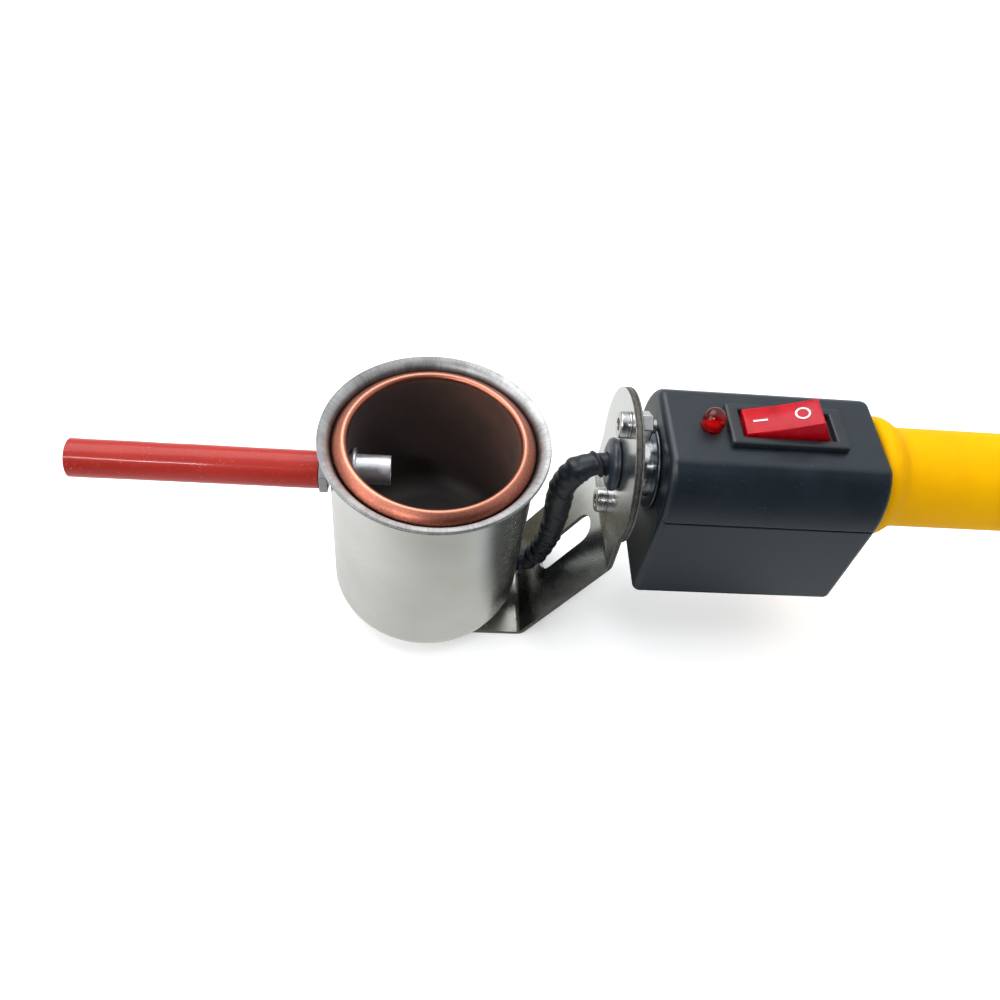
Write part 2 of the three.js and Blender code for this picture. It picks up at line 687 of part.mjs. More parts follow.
function cableGland() {
  const start = GRIP_END + CAP.length + 0.2;
  const end = start + GLAND.length;
  const profile = [
    [GLAND.bore, start],
    [GLAND.r, start],
    [GLAND.r, end - 4],
    [GLAND.r - 1.4, end - 3],
    [GLAND.nose, end],
    [GLAND.bore, end],
    [GLAND.bore, start],
  ];
  return turnedX(profile, 16).translate(0, 0, HANDLE_Z);
}

// ---- routes ----
// Heater lead: out of the grommet, down behind the cup and in through the hole near its base.
const LEAD_ROUTE = [
  [53, 0, PLATE_Z], [49, 0, PLATE_Z], [45.5, 0, 59.6], [42.2, 0, 59.4], [39.4, 0, 58.2], [37, 0, 55.2],
  [35.5, 0, 50.5], [35.1, 0, 45], [35.6, 0, 39], [35.8, 0, 33], [35.5, 0, 26.5], [34.4, 0, 20],
  [32.6, 0, 15.4], [30.2, 0, 12.9], [27.6, 0, LEAD_HOLE_Z], [24.9, 0, LEAD_HOLE_Z],
];
// The lead's two cores: out of the neck and down to the board.
const coreRoute = (side) => [
  [53.6, side * 1.5, PLATE_Z], [60, side * 1.5, PLATE_Z], [66, side * 1.6, 58.8],
  [68.6, side * 2.6, 54], [69, side * 3.6, 48], [69, side * 4, PART_Z + 0.3],
];
// Switch wires: from the outer terminals to the terminal block and the fuse.
const WIRE_IN = [[98.15, -3.4, 56], [98.4, -5.4, 56.4], [99.2, -8, 55], [99.5, -9, 52.3]];
const WIRE_OUT = [[81.15, -3.4, 56], [81.3, -5.6, 55.6], [82, -8.6, 53], [82.2, -10, 48.4]];

// ---- assembly ----
add('cup_shell', cupShell(), stainless);
add('crucible', crucible(), copper);
add('heater_band', heaterBand(), mica);
add('insulation_wrap', insulationWrap(), whiteCeramic);
add('insulation_pad', insulationPad(), whiteCeramic);
add('thermostat', thermostat(), whiteCeramic);
supports.forEach((at, i) => {
  add(`ceramic_spacer_${i + 1}`, ceramicSpacer(at), whiteCeramic);
  add(`foot_screw_${i + 1}`, footScrew(at), zincSteel);
});

add('nozzle_pipe', nozzlePipe(), zincSteel);
add('nozzle_nut', nozzleNut(), zincSteel);
const sleeve = ringX(NOZZLE_R + 0.15, SLEEVE_R, SLEEVE_END, SLEEVE_START, NOZZLE_Z, 28);
add('nozzle_sleeve', sleeve, redSleeve);

add('bracket', bracket(), stainless);
add('back_plate', backPlate(), stainless);
add('plate_grommet', plateGrommet(), blackRubber);
[['upper', 1], ['lower', -1]].forEach(([name, side]) => {
  const z = PLATE_Z + side * SCREW_CIRCLE;
  add(`plate_screw_${name}`, plateScrew(z), zincSteel);
  add(`plate_washer_${name}`, ringX(WASHER.inner, WASHER.outer, WASHER.from, WASHER.to, z, 20), zincSteel);
  add(`plate_nut_${name}`, plateNut(z), zincSteel);
});
add('heater_lead', wire(LEAD_ROUTE, LEAD_R, 10, 28), blackRubber);
add('lead_bush', ringX(LEAD_R + 2 * FIT, BUSH.r, BUSH.from, BUSH.to, LEAD_HOLE_Z, 20), blackRubber);

add('neck_tube', neckTube(), chrome);
add('neck_collar', neckCollar(), chrome);
const innerFaces = [BOX_START + BOX_WALL + GAP, BOX_END - BOX_WALL - GAP];
const neckLock = ringX(NECK_R + 0.15, NECK_LOCK.r, innerFaces[0], NECK_LOCK.to, PLATE_Z, 24);
add('neck_lock_ring', neckLock, zincSteel);

const halves = boxHalves();
add('box_upper_shell', halves.upper, blackPlastic);
add('box_lower_shell', halves.lower, blackPlastic);
bossPlaces.forEach((at, i) => add(`box_screw_${i + 1}`, boxScrew(at), zincSteel));

add('switch_housing', switchHousing(), blackPlastic);
add('rocker', rocker(), redLens);
[-1, 0, 1].forEach((place, i) => {
  const x = SWITCH_X + place * TERMINAL.pitch;
  const half = TERMINAL.thickness / 2;
  const top = SWITCH_BODY.bottom - GAP;
  const blade = block(x - half, x + half, -TERMINAL.half, TERMINAL.half, TERMINAL.from, top);
  add(`switch_terminal_${i + 1}`, blade, brassBlade);
});
add('indicator_lamp', indicatorLamp(), redLens);
[-1, 1].forEach((side, i) => {
  const x = LAMP_X + side * LAMP_LEG.offset;
  const { half, from } = LAMP_LEG;
  add(`lamp_leg_${i + 1}`, block(x - half, x + half, -half, half, from, LAMP_RIM.from - GAP), zincSteel);
});

add('circuit_board', circuitBoard(), boardGreen);
add('relay', block(73.5, 92.5, 3.6, 14.2, PART_Z, PART_Z + 15), blueCase);
add('terminal_block', block(94.5, 104.5, -14, -4, PART_Z, PART_Z + 9.3), boardGreen);
add('fuse', rodX(2.6, 73, 93, -10, PART_Z + 2.7, 14), whiteCeramic);
[-1, 1].forEach((side, i) => {
  add(`heater_core_${i + 1}`, wire(coreRoute(side), 0.9, 8, 10), wireRed);
});
add('switch_wire_in', wire(WIRE_IN, 0.8, 8, 6), wireRed);
add('switch_wire_out', wire(WIRE_OUT, 0.8, 8, 6), wireRed);

add('handle_tube', ringX(TUBE_BORE, TUBE_R, TUBE_START, GRIP_END, HANDLE_Z, 28), blackPlastic);
const lockRing = ringX(TUBE_R + 0.15, LOCK_RING.r, LOCK_RING.from, innerFaces[1], HANDLE_Z, 24);
add('handle_lock_ring', lockRing, zincSteel);
add('handle_grip', handleGrip(), yellowRubber);
add('end_cap', endCap(), blackPlastic);
add('cable_gland', cableGland(), blackPlastic);

export default part;
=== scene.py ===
import math

import bmesh
import bpy
from mathutils import Matrix, Vector, noise


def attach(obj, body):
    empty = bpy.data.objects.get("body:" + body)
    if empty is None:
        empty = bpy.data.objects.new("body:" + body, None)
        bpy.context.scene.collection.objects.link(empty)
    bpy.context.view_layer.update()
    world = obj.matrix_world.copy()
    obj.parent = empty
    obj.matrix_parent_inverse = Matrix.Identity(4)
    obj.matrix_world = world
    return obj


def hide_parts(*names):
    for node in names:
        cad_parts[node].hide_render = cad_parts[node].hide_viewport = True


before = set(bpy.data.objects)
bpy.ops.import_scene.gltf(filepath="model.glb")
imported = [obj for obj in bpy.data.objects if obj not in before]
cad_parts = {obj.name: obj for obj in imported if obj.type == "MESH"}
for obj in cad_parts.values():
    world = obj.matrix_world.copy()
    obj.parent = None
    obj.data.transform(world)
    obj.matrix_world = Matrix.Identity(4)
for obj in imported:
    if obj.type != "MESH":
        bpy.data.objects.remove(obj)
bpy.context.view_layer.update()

BODY = "vaporizer"
ROCKER_BODY = "rocker_body"
MM = 0.001


# ---------------------------------------------------------------- camera
CAMERA_ANGLES = (-9.06, 51.53, 9.85)  # azimuth, elevation and roll, in degrees
CAMERA_PLACE = (-5.37, -154.91, 239.03)  # mm
FOCAL_LENGTH = 32.26
SENSOR_WIDTH = 36


def make_camera():
    """Camera in front of the cup, above it and looking down."""
    azimuth, elevation, roll = (math.radians(angle) for angle in CAMERA_ANGLES)
    back = Vector((math.sin(azimuth) * math.cos(elevation),
                   -math.cos(azimuth) * math.cos(elevation), math.sin(elevation)))
    right = Vector((math.cos(azimuth), math.sin(azimuth), 0))
    up = back.cross(right)
    cam_right = math.cos(roll) * right + math.sin(roll) * up
    cam_up = -math.sin(roll) * right + math.cos(roll) * up
    data = bpy.data.cameras.new("camera")
    data.lens = FOCAL_LENGTH
    data.sensor_width = SENSOR_WIDTH
    data.clip_start = 0.005
    data.clip_end = 20
    camera = bpy.data.objects.new("camera", data)
    place = Matrix.Identity(4)
    for column, axis in enumerate((cam_right, cam_up, back)):
        for row in range(3):
            place[row][column] = axis[row]
    place.translation = Vector(CAMERA_PLACE) * MM
    camera.matrix_world = place
    bpy.context.scene.collection.objects.link(camera)
    bpy.context.scene.camera = camera


# ---------------------------------------------------------------- node materials
# Sockets of a Mix node that mixes colours.
MIX_FACTOR, MIX_FIRST, MIX_SECOND, MIX_RESULT = 0, 6, 7, 2


def grey(tone):
    return (tone, tone, tone)


class Nodes:
    """One procedural material: a Principled shader with object-space textures."""

    def __init__(self, name, **shader):
        self.material = bpy.data.materials.new(name)
        self.material.use_nodes = True
        self.tree = self.material.node_tree
        self.shader = self.tree.nodes["Principled BSDF"]
        self.set(**shader)
        self.place = self.node("ShaderNodeTexCoord").outputs["Object"]
        self.bumps = None

    def node(self, kind, **props):
        """New node with its own properties set."""
        made = self.tree.nodes.new(kind)
        for key, value in props.items():
            setattr(made, key, value)
        return made

    def link(self, source, target):
        self.tree.links.new(source, target)
        return self

    def set(self, **values):
        """Constant inputs of the shader, with an underscore for each blank in a name."""
        for key, value in values.items():
            socket = self.shader.inputs[key.replace("_", " ")]
            if isinstance(value, (tuple, list)) and len(value) == 3 and socket.type == "RGBA":
                value = (*value, 1)
            socket.default_value = value

    def stretched(self, scale):
        """Object coordinates scaled along each axis."""
        mapping = self.node("ShaderNodeMapping")
        mapping.inputs["Scale"].default_value = scale
        self.link(self.place, mapping.inputs["Vector"])
        return mapping.outputs["Vector"]

    def noise(self, scale, detail=3.0, rough=0.55, stretch=None):
        made = self.node("ShaderNodeTexNoise")
        made.inputs["Scale"].default_value = scale
        made.inputs["Detail"].default_value = detail
        made.inputs["Roughness"].default_value = rough
        self.link(self.stretched(stretch) if stretch else self.place, made.inputs["Vector"])
        return made.outputs["Fac"]

    def cells(self, scale):
        made = self.node("ShaderNodeTexVoronoi")
        made.inputs["Scale"].default_value = scale
        self.link(self.place, made.inputs["Vector"])
        return made.outputs["Distance"]

    def axis(self, name):
        """Object coordinate along X, Y or Z."""
        split = self.node("ShaderNodeSeparateXYZ")
        self.link(self.place, split.inputs["Vector"])
        return split.outputs[name]

    def radius(self):
        """Distance from the Z axis of the object."""
        flat = self.stretched((1, 1, 0))
        length = self.node("ShaderNodeVectorMath", operation="LENGTH")
        self.link(flat, length.inputs[0])
        return length.outputs["Value"]

    def polar_noise(self, around, outwards, upwards, detail=3.0, rough=0.6):
        """Noise over the turn about Z, the distance from Z and the height, each with its own scale."""
        split = self.node("ShaderNodeSeparateXYZ")
        self.link(self.place, split.inputs["Vector"])
        turn = self.node("ShaderNodeMath", operation="ARCTAN2")
        self.link(split.outputs["Y"], turn.inputs[0]).link(split.outputs["X"], turn.inputs[1])
        parts = self.node("ShaderNodeCombineXYZ")
        scales = ((turn.outputs[0], around, "X"), (self.radius(), outwards, "Y"),
                  (split.outputs["Z"], upwards, "Z"))
        for source, scale, socket in scales:
            scaled = self.node("ShaderNodeMath", operation="MULTIPLY")
            scaled.inputs[1].default_value = scale
            self.link(source, scaled.inputs[0]).link(scaled.outputs[0], parts.inputs[socket])
        made = self.node("ShaderNodeTexNoise")
        made.inputs["Scale"].default_value = 1.0
        made.inputs["Detail"].default_value = detail
        made.inputs["Roughness"].default_value = rough
        self.link(parts.outputs["Vector"], made.inputs["Vector"])
        return made.outputs["Fac"]

    def spread(self, source, low, high, to_low=0.0, to_high=1.0):
        """Maps low..high onto to_low..to_high, and holds the ends."""
        made = self.node("ShaderNodeMapRange")
        for key, value in zip(("From Min", "From Max", "To Min", "To Max"),
                              (low, high, to_low, to_high)):
            made.inputs[key].default_value = value
        self.link(source, made.inputs["Value"])
        return made.outputs["Result"]

    def ramp(self, source, stops):
        """Colour ramp through stops of (place, colour)."""
        made = self.node("ShaderNodeValToRGB")
        while len(made.color_ramp.elements) < len(stops):
            made.color_ramp.elements.new(0.5)
        for element, (place, color) in zip(made.color_ramp.elements, stops):
            element.position = place
            element.color = (*color, 1)
        self.link(source, made.inputs["Fac"])
        return made.outputs["Color"]

    def mix(self, factor, first, second, blend="MIX"):
        """Mix of two colours; each value is a socket, a colour or a number."""
        made = self.node("ShaderNodeMix", data_type="RGBA", blend_type=blend)
        for index, value in ((MIX_FACTOR, factor), (MIX_FIRST, first), (MIX_SECOND, second)):
            socket = made.inputs[index]
            if isinstance(value, bpy.types.NodeSocket):
                self.link(value, socket)
            elif isinstance(value, (tuple, list)):
                socket.default_value = (*value, 1)
            else:
                socket.default_value = value
        return made.outputs[MIX_RESULT]

    def color(self, source):
        self.link(source, self.shader.inputs["Base Color"])

    def rough(self, source, low, high):
        """Roughness between low and high, led by a noise."""
        self.link(self.spread(source, 0.3, 0.7, low, high), self.shader.inputs["Roughness"])

    def bump(self, source, strength, depth):
        """Adds a relief on top of those already there."""
        made = self.node("ShaderNodeBump")
        made.inputs["Strength"].default_value = strength
        made.inputs["Distance"].default_value = depth
        self.link(source, made.inputs["Height"])
        if self.bumps:
            self.link(self.bumps, made.inputs["Normal"])
        self.bumps = made.outputs["Normal"]
        self.link(self.bumps, self.shader.inputs["Normal"])


def drawn_steel():
    """Satin cup steel: faint lines round the cup, a few soft stains."""
    m = Nodes("drawn_steel", Metallic=1.0)
    lines = m.polar_noise(1.2, 0, 700, 2)
    stains = m.noise(45, 3, 0.5)
    m.color(m.ramp(stains, [(0.3, (0.56, 0.56, 0.53)), (0.7, (0.63, 0.63, 0.61))]))
    m.rough(lines, 0.255, 0.28)
    return m.material


def mottled_steel():
    """Unpolished rim of the cup: brushed outwards, with a few brighter patches, and painted shade towards the
    back, towards the right, next to the copper and at the outer edge.
    """
    m = Nodes("mottled_steel")
    brushed = m.polar_noise(75, 260, 160, 4, 0.7)
    broad = m.noise(170, 3, 0.6)
    strokes = m.ramp(brushed, [(0.35, grey(0.26)), (0.65, (0.60, 0.60, 0.595))])
    patches = m.ramp(broad, [(0.36, grey(0.34)), (0.66, grey(0.72))])
    tone = m.mix(0.5, strokes, patches)
    # Painted shade: the rim turns darker towards the back and, less so, towards the right.
    painted_shade_tone = m.mix(1.0, tone, grey(0.74), "MULTIPLY")
    tone = m.mix(m.spread(m.axis("Y"), -0.012, 0.022), tone, painted_shade_tone)
    tone = m.mix(m.spread(m.axis("X"), 0.006, 0.026, 0, 0.6), tone, painted_shade_tone)
    # Painted shade across the rim: dark in the gap next to the copper, and darker again towards the rolled
    # outer edge.
    across_rim = m.spread(m.radius(), 0.0270, 0.0310)
    shade = m.ramp(across_rim, [
        (0.0, (0.16, 0.16, 0.155)), (0.14, (0.45, 0.45, 0.44)), (0.28, grey(1)), (0.6, grey(1)),
        (0.74, grey(0.75)), (0.84, grey(0.34)), (1.0, grey(0.2)),
    ])
    m.color(m.mix(1.0, tone, shade, "MULTIPLY"))
    m.link(m.spread(m.axis("Y"), -0.029, -0.004, 0.3, 0.82), m.shader.inputs["Metallic"])
    m.rough(brushed, 0.36, 0.46)
    m.bump(brushed, 0.14, 0.00006)
    return m.material


def copper():
    """Turned copper: pink lip with a painted highlight on its crest and painted shade on its inner edge and
    outer bevel; oxidised brown-black bowl, darker towards its floor, with painted shade on its left side.
    """
    m = Nodes("copper", Metallic=1.0)
    radius = m.radius()
    across_lip = m.spread(radius, 0.0225, 0.0268)
    # Painted light across the lip: a bright painted highlight on the crest, painted shade towards the inner
    # edge and over the outer bevel.
    lip = m.ramp(across_lip, [
        (0.0, (0.34, 0.105, 0.065)), (0.1, (0.50, 0.18, 0.12)), (0.28, (0.62, 0.25, 0.17)),
        (0.42, (0.50, 0.18, 0.12)), (0.75, (0.37, 0.115, 0.075)), (1.0, (0.24, 0.072, 0.048)),
    ])
    stain = m.noise(90, 4, 0.6)
    scratches = m.polar_noise(34, 2600, 900, 4, 0.7)
    lip = m.mix(m.spread(scratches, 0.52, 0.72, 0, 0.35), lip, (0.80, 0.46, 0.36))
    bowl = m.ramp(m.spread(m.axis("Z"), 0.019, 0.066), [
        (0.0, (0.090, 0.088, 0.084)), (0.2, (0.090, 0.066, 0.060)),
        (0.7, (0.17, 0.10, 0.082)), (1.0, (0.25, 0.125, 0.092)),
    ])
    bowl = m.mix(m.spread(stain, 0.35, 0.7, 0, 0.5), bowl, (0.07, 0.06, 0.06))
    # Painted shade: the bowl's wall turns darker and greyer towards the left.
    bowl = m.mix(m.spread(m.axis("X"), -0.02, 0.016, 0.75, 0), bowl, (0.115, 0.105, 0.11))
    inside = m.spread(radius, 0.02243, 0.0226, 1, 0)
    m.color(m.mix(inside, lip, bowl))
    m.link(m.spread(inside, 0, 1, 0.38, 0.62), m.shader.inputs["Roughness"])
    m.link(m.spread(inside, 0, 1, 1.0, 0.6), m.shader.inputs["Metallic"])
    m.bump(m.noise(1500, 2, stretch=(0.05, 0.05, 1)), 0.25, 0.00003)
    m.bump(scratches, 0.3, 0.00004)
    return m.material


def bright_metal(name, tone, rough, speckle=0.0, metallic=1.0):
    """Worn bright metal; the speckle deepens its fine relief."""
    m = Nodes(name, Metallic=metallic)
    wear = m.noise(260, 4, 0.6)
    darker = tuple(c * 0.72 for c in tone)
    m.color(m.ramp(wear, [(0.3, darker), (0.62, tone)]))
    m.rough(wear, rough, rough * 1.8)
    m.bump(m.noise(1400, 3), 0.12 + speckle, 0.00004)
    return m.material


def bracket_steel():
    """Smooth rolled sheet, darker towards the foot."""
    m = Nodes("bracket_steel", Metallic=1.0)
    stains = m.noise(60, 4, 0.6)
    sheet = m.ramp(stains, [(0.3, (0.66, 0.67, 0.67)), (0.7, (0.78, 0.79, 0.79))])
    height = m.spread(m.axis("Z"), 0.0012, 0.042)
    # The sheet grows darker towards the foot.
    foot_darkening = m.ramp(height, [(0.0, (0.42, 0.41, 0.38)), (0.1, (0.62, 0.61, 0.58)), (1.0, grey(1))])
    m.color(m.mix(1.0, sheet, foot_darkening, "MULTIPLY"))
    m.rough(stains, 0.22, 0.30)
    return m.material


def cut_edge():
    """Laser-cut edge: dull brown-grey; the two round plates show as light and dark lines, which are painted
    highlights on their edges and painted shade in the seams between them.
    """
    m = Nodes("cut_edge", Metallic=0.6)
    lines = m.noise(700, 4, 0.7)
    base = m.ramp(lines, [(0.35, (0.075, 0.070, 0.060)), (0.65, (0.150, 0.142, 0.125))])
    # Painted highlights (bright) and painted shade (dark) in lines across the plates' edge.
    bright, dull = grey(1.7), grey(0.9)
    dark = (0.22, 0.21, 0.2)
    painted_edge_lines = m.ramp(m.spread(m.axis("X"), 0.0485, 0.0525), [
        (0.0, dull), (0.16, bright), (0.22, dark), (0.28, dull), (0.46, dull), (0.5, dark),
        (0.56, dark), (0.6, bright), (0.72, dull), (0.76, dark), (0.8, dull), (1.0, dark),
    ])
    m.color(m.mix(1.0, base, painted_edge_lines, "MULTIPLY"))
    m.rough(lines, 0.4, 0.6)
    m.bump(lines, 0.5, 0.0001)
    return m.material


def plastic(name, tone, lighter, rough, dust=0.0):
    """Moulded plastic or rubber with a fine grain; dust is how much its pale specks show."""
    m = Nodes(name)
    cloud = m.noise(120, 4, 0.6)
    base = m.ramp(cloud, [(0.3, tone), (0.7, lighter)])
    if dust:
        specks = m.noise(2300, 1, 0.5)
        base = m.mix(m.spread(specks, 0.76, 0.8, 0, dust), base, (0.35, 0.37, 0.38))
    m.color(base)
    m.rough(cloud, rough, rough + 0.08)
    m.bump(m.cells(1800), 0.25, 0.00003)
    return m.material


def red_silicone():
    """Glossy silicone tube with a few pale specks."""
    m = Nodes("red_silicone", Coat_Weight=0.22, Coat_Roughness=0.10, Subsurface_Weight=0.1,
              Subsurface_Radius=(1, 0.2, 0.15), Subsurface_Scale=0.001, Specular_IOR_Level=0.12)
    cloud = m.noise(80, 3, 0.6, stretch=(0.3, 1, 1))
    specks = m.noise(1500, 2, 0.6)
    base = m.ramp(cloud, [(0.3, (0.32, 0.021, 0.016)), (0.7, (0.40, 0.030, 0.023))])
    m.color(m.mix(m.spread(specks, 0.66, 0.74, 0, 0.4), base, (0.70, 0.25, 0.22)))
    m.rough(cloud, 0.24, 0.36)
    m.bump(m.noise(420, 3, stretch=(0.2, 1, 1)), 0.22, 0.0001)
    return m.material


def yellow_rubber():
    """Matt dipped rubber."""
    m = Nodes("yellow_rubber", Subsurface_Weight=0.1, Subsurface_Radius=(1, 0.6, 0.1),
              Subsurface_Scale=0.002, Specular_IOR_Level=0.06)
    cloud = m.noise(55, 4, 0.6)
    m.color(m.ramp(cloud, [(0.3, (0.76, 0.37, 0.0)), (0.7, (0.82, 0.42, 0.0))]))
    m.rough(cloud, 0.56, 0.68)
    m.bump(m.noise(1300, 3, 0.6), 0.18, 0.00006)
    return m.material


def black_sleeve():
    """Shrink sleeve and tape over the heater lead."""
    m = Nodes("black_sleeve", Specular_IOR_Level=0.4)
    cloud = m.noise(140, 4, 0.65)
    m.color(m.ramp(cloud, [(0.3, (0.005, 0.008, 0.011)), (0.7, (0.011, 0.016, 0.022))]))
    m.rough(cloud, 0.30, 0.46)
    m.bump(m.noise(500, 4, 0.6), 0.25, 0.00015)
    return m.material


def rocker_red():
    """Clear red plastic, deeper lower down, with moulded ribs that show through."""
    m = Nodes("rocker_red", Coat_Weight=0.08, Coat_Roughness=0.12, Transmission_Weight=0.2, IOR=1.45,
              Subsurface_Weight=0.5, Subsurface_Radius=(1, 0.03, 0.04), Subsurface_Scale=0.003,
              Specular_IOR_Level=0.12)
    depth = m.spread(m.axis("Z"), 0.073, 0.083)
    ribs = m.noise(240, 3, 0.6, stretch=(1, 0.4, 1))
    tone = m.ramp(depth, [
        (0.0, (0.40, 0.0, 0.003)), (0.45, (0.54, 0.001, 0.006)), (1.0, (0.53, 0.003, 0.02)),
    ])
    m.color(m.mix(m.spread(ribs, 0.45, 0.68, 0, 0.65), tone, (0.30, 0.002, 0.008)))
    m.rough(m.noise(300, 3), 0.16, 0.28)
    m.bump(m.noise(700, 2), 0.06, 0.00003)
    return m.material


def lamp_red():
    """Clear red lens."""
    m = Nodes("lamp_red", Transmission_Weight=0.9, IOR=1.45, Specular_IOR_Level=0.15)
    m.color(m.ramp(m.noise(350, 2), [(0.3, (0.40, 0.001, 0.003)), (0.7, (0.55, 0.003, 0.005))]))
    m.rough(m.noise(500, 2), 0.04, 0.10)
    return m.material


def ceramic(name, tone):
    """Dull grained surface: ceramic, fibre or mica."""
    m = Nodes(name)
    grain = m.noise(500, 4, 0.65)
    m.color(m.ramp(grain, [(0.3, tuple(c * 0.85 for c in tone)), (0.7, tone)]))
    m.rough(grain, 0.6, 0.8)
    m.bump(grain, 0.3, 0.0001)
    return m.material


# ---------------------------------------------------------------- mesh helpers
TOUCHING = 1e-7  # points closer than this, in metres, are one point


def from_bmesh(name, work, material, angle=40):
    """Object from a finished bmesh. Edges sharper than the angle, in degrees, stay hard."""
    bmesh.ops.recalc_face_normals(work, faces=work.faces)
    mesh = bpy.data.meshes.new(name)
    work.to_mesh(mesh)
    work.free()
    for each in material if isinstance(material, list) else [material]:
        mesh.materials.append(each)
    mesh.shade_smooth()
    mesh.set_sharp_from_angle(angle=math.radians(angle))
    piece = bpy.data.objects.new(name, mesh)
    bpy.context.scene.collection.objects.link(piece)
    return piece


def settle(piece):
    """Applies the modifiers of a piece to its mesh."""
    depsgraph = bpy.context.evaluated_depsgraph_get()
    mesh = bpy.data.meshes.new_from_object(piece.evaluated_get(depsgraph))
    old = piece.data
    piece.modifiers.clear()
    piece.data = mesh
    bpy.data.meshes.remove(old)


def rounded(piece, width, segments, angle):
    """Breaks the edges that are sharper than the angle, in degrees, by a small radius."""
    bevel = piece.modifiers.new("edges", "BEVEL")
    bevel.width = width
    bevel.segments = segments
    bevel.limit_method = "ANGLE"
    bevel.angle_limit = math.radians(angle)
    bevel.harden_normals = False
    settle(piece)
    piece.data.shade_smooth()
    piece.data.set_sharp_from_angle(angle=math.radians(60))
    normals = piece.modifiers.new("normals", "WEIGHTED_NORMAL")
    normals.keep_sharp = True
    settle(piece)


def refined(node, material, width, segments=3):
    """Copy of a CAD node whose hard edges are broken by a small radius."""
    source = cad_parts[node]
    work = bmesh.new()
    work.from_mesh(source.data)
    bmesh.ops.remove_doubles(work, verts=work.verts, dist=1e-6)
    bmesh.ops.dissolve_limit(work, angle_limit=math.radians(1.0), verts=work.verts, edges=work.edges)
    piece = from_bmesh(f"{node}_look", work, material)
    rounded(piece, width, segments, 35)
    take_place(piece, BODY, [node])
    return piece


def edge_faces(piece, is_edge):
    """Second material on the faces that is_edge picks by normal and centre."""
    for face in piece.data.polygons:
        if is_edge(face.normal, face.center):
            face.material_index = 1


def take_place(piece, body, nodes):
    """Hangs a piece on its body, in place of the CAD nodes it stands for."""
    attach(piece, body)
    if nodes:
        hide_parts(*nodes)


def skin(work, rings):
    """Faces over a run of equal rings of vertices, with a cap on the first and the last."""
    count = len(rings[0])
    for lower, upper in zip(rings, rings[1:]):
        for k in range(count):
            ahead = (k + 1) % count
            work.faces.new((lower[k], lower[ahead], upper[ahead], upper[k]))
    work.faces.new(rings[0])
    work.faces.new(rings[-1])


def lathe(name, profile, material, segments, axis="Z", centre=(0, 0, 0), angle=35, wobble=None):
    """Turned piece. The profile is a list of (radius, place along the axis), in metres."""
    work = bmesh.new()
    rings = []
    for radius, along in profile:
        if radius < TOUCHING:
            rings.append([work.verts.new((0, 0, along))] * segments)
            continue
        ring = []
        for k in range(segments):
            turn = 2 * math.pi * k / segments
            r = radius + (wobble(turn, along) if wobble else 0)
            ring.append(work.verts.new((r * math.cos(turn), r * math.sin(turn), along)))
        rings.append(ring)
    for lower, upper in zip(rings, rings[1:]):
        for k in range(segments):
            near, far = lower[k], lower[(k + 1) % segments]
            high_far, high_near = upper[(k + 1) % segments], upper[k]
            corners = list(dict.fromkeys((near, far, high_far, high_near)))
            if len(corners) > 2:
                work.faces.new(corners)
    bmesh.ops.remove_doubles(work, verts=work.verts, dist=TOUCHING)
    if axis == "X":
        work.transform(Matrix.Rotation(math.radians(90), 4, "Y"))
    work.transform(Matrix.Translation(centre))
    return from_bmesh(name, work, material, angle)


def arc(cx, cy, rx, ry, start, end, steps):
    """Points on part of an ellipse; start and end in degrees."""
    return [(cx + rx * math.cos(math.radians(start + (end - start) * i / steps)),
             cy + ry * math.sin(math.radians(start + (end - start) * i / steps)))
            for i in range(steps + 1)]


def smoothed(points, radius, steps=5):
    """Rounds every inner corner of an open outline with a small curve."""
    out = [points[0]]
    for before, corner, after in zip(points, points[1:], points[2:]):
        c = Vector(corner)
        a, b = Vector(before) - c, Vector(after) - c
        reach = min(radius, 0.45 * a.length, 0.45 * b.length)
        if reach < 1e-6:
            out.append(corner)
            continue
        start, end = c + a.normalized() * reach, c + b.normalized() * reach
        for i in range(steps + 1):
            t = i / steps
            point = (1 - t) ** 2 * start + 2 * t * (1 - t) * c + t * t * end
            out.append((point.x, point.y))
    out.append(points[-1])
    return out


def mm(points):
    """Outline given in mm, in metres."""
    return [(a * MM, b * MM) for a, b in points]


def climb(value, start, end):
    """0 up to start, 1 from end on, straight in between."""
    return min(1, max(0, (value - start) / (end - start)))


# ---------------------------------------------------------------- the cup
RIM_Z, SHELL_R = 66.4, 27.4


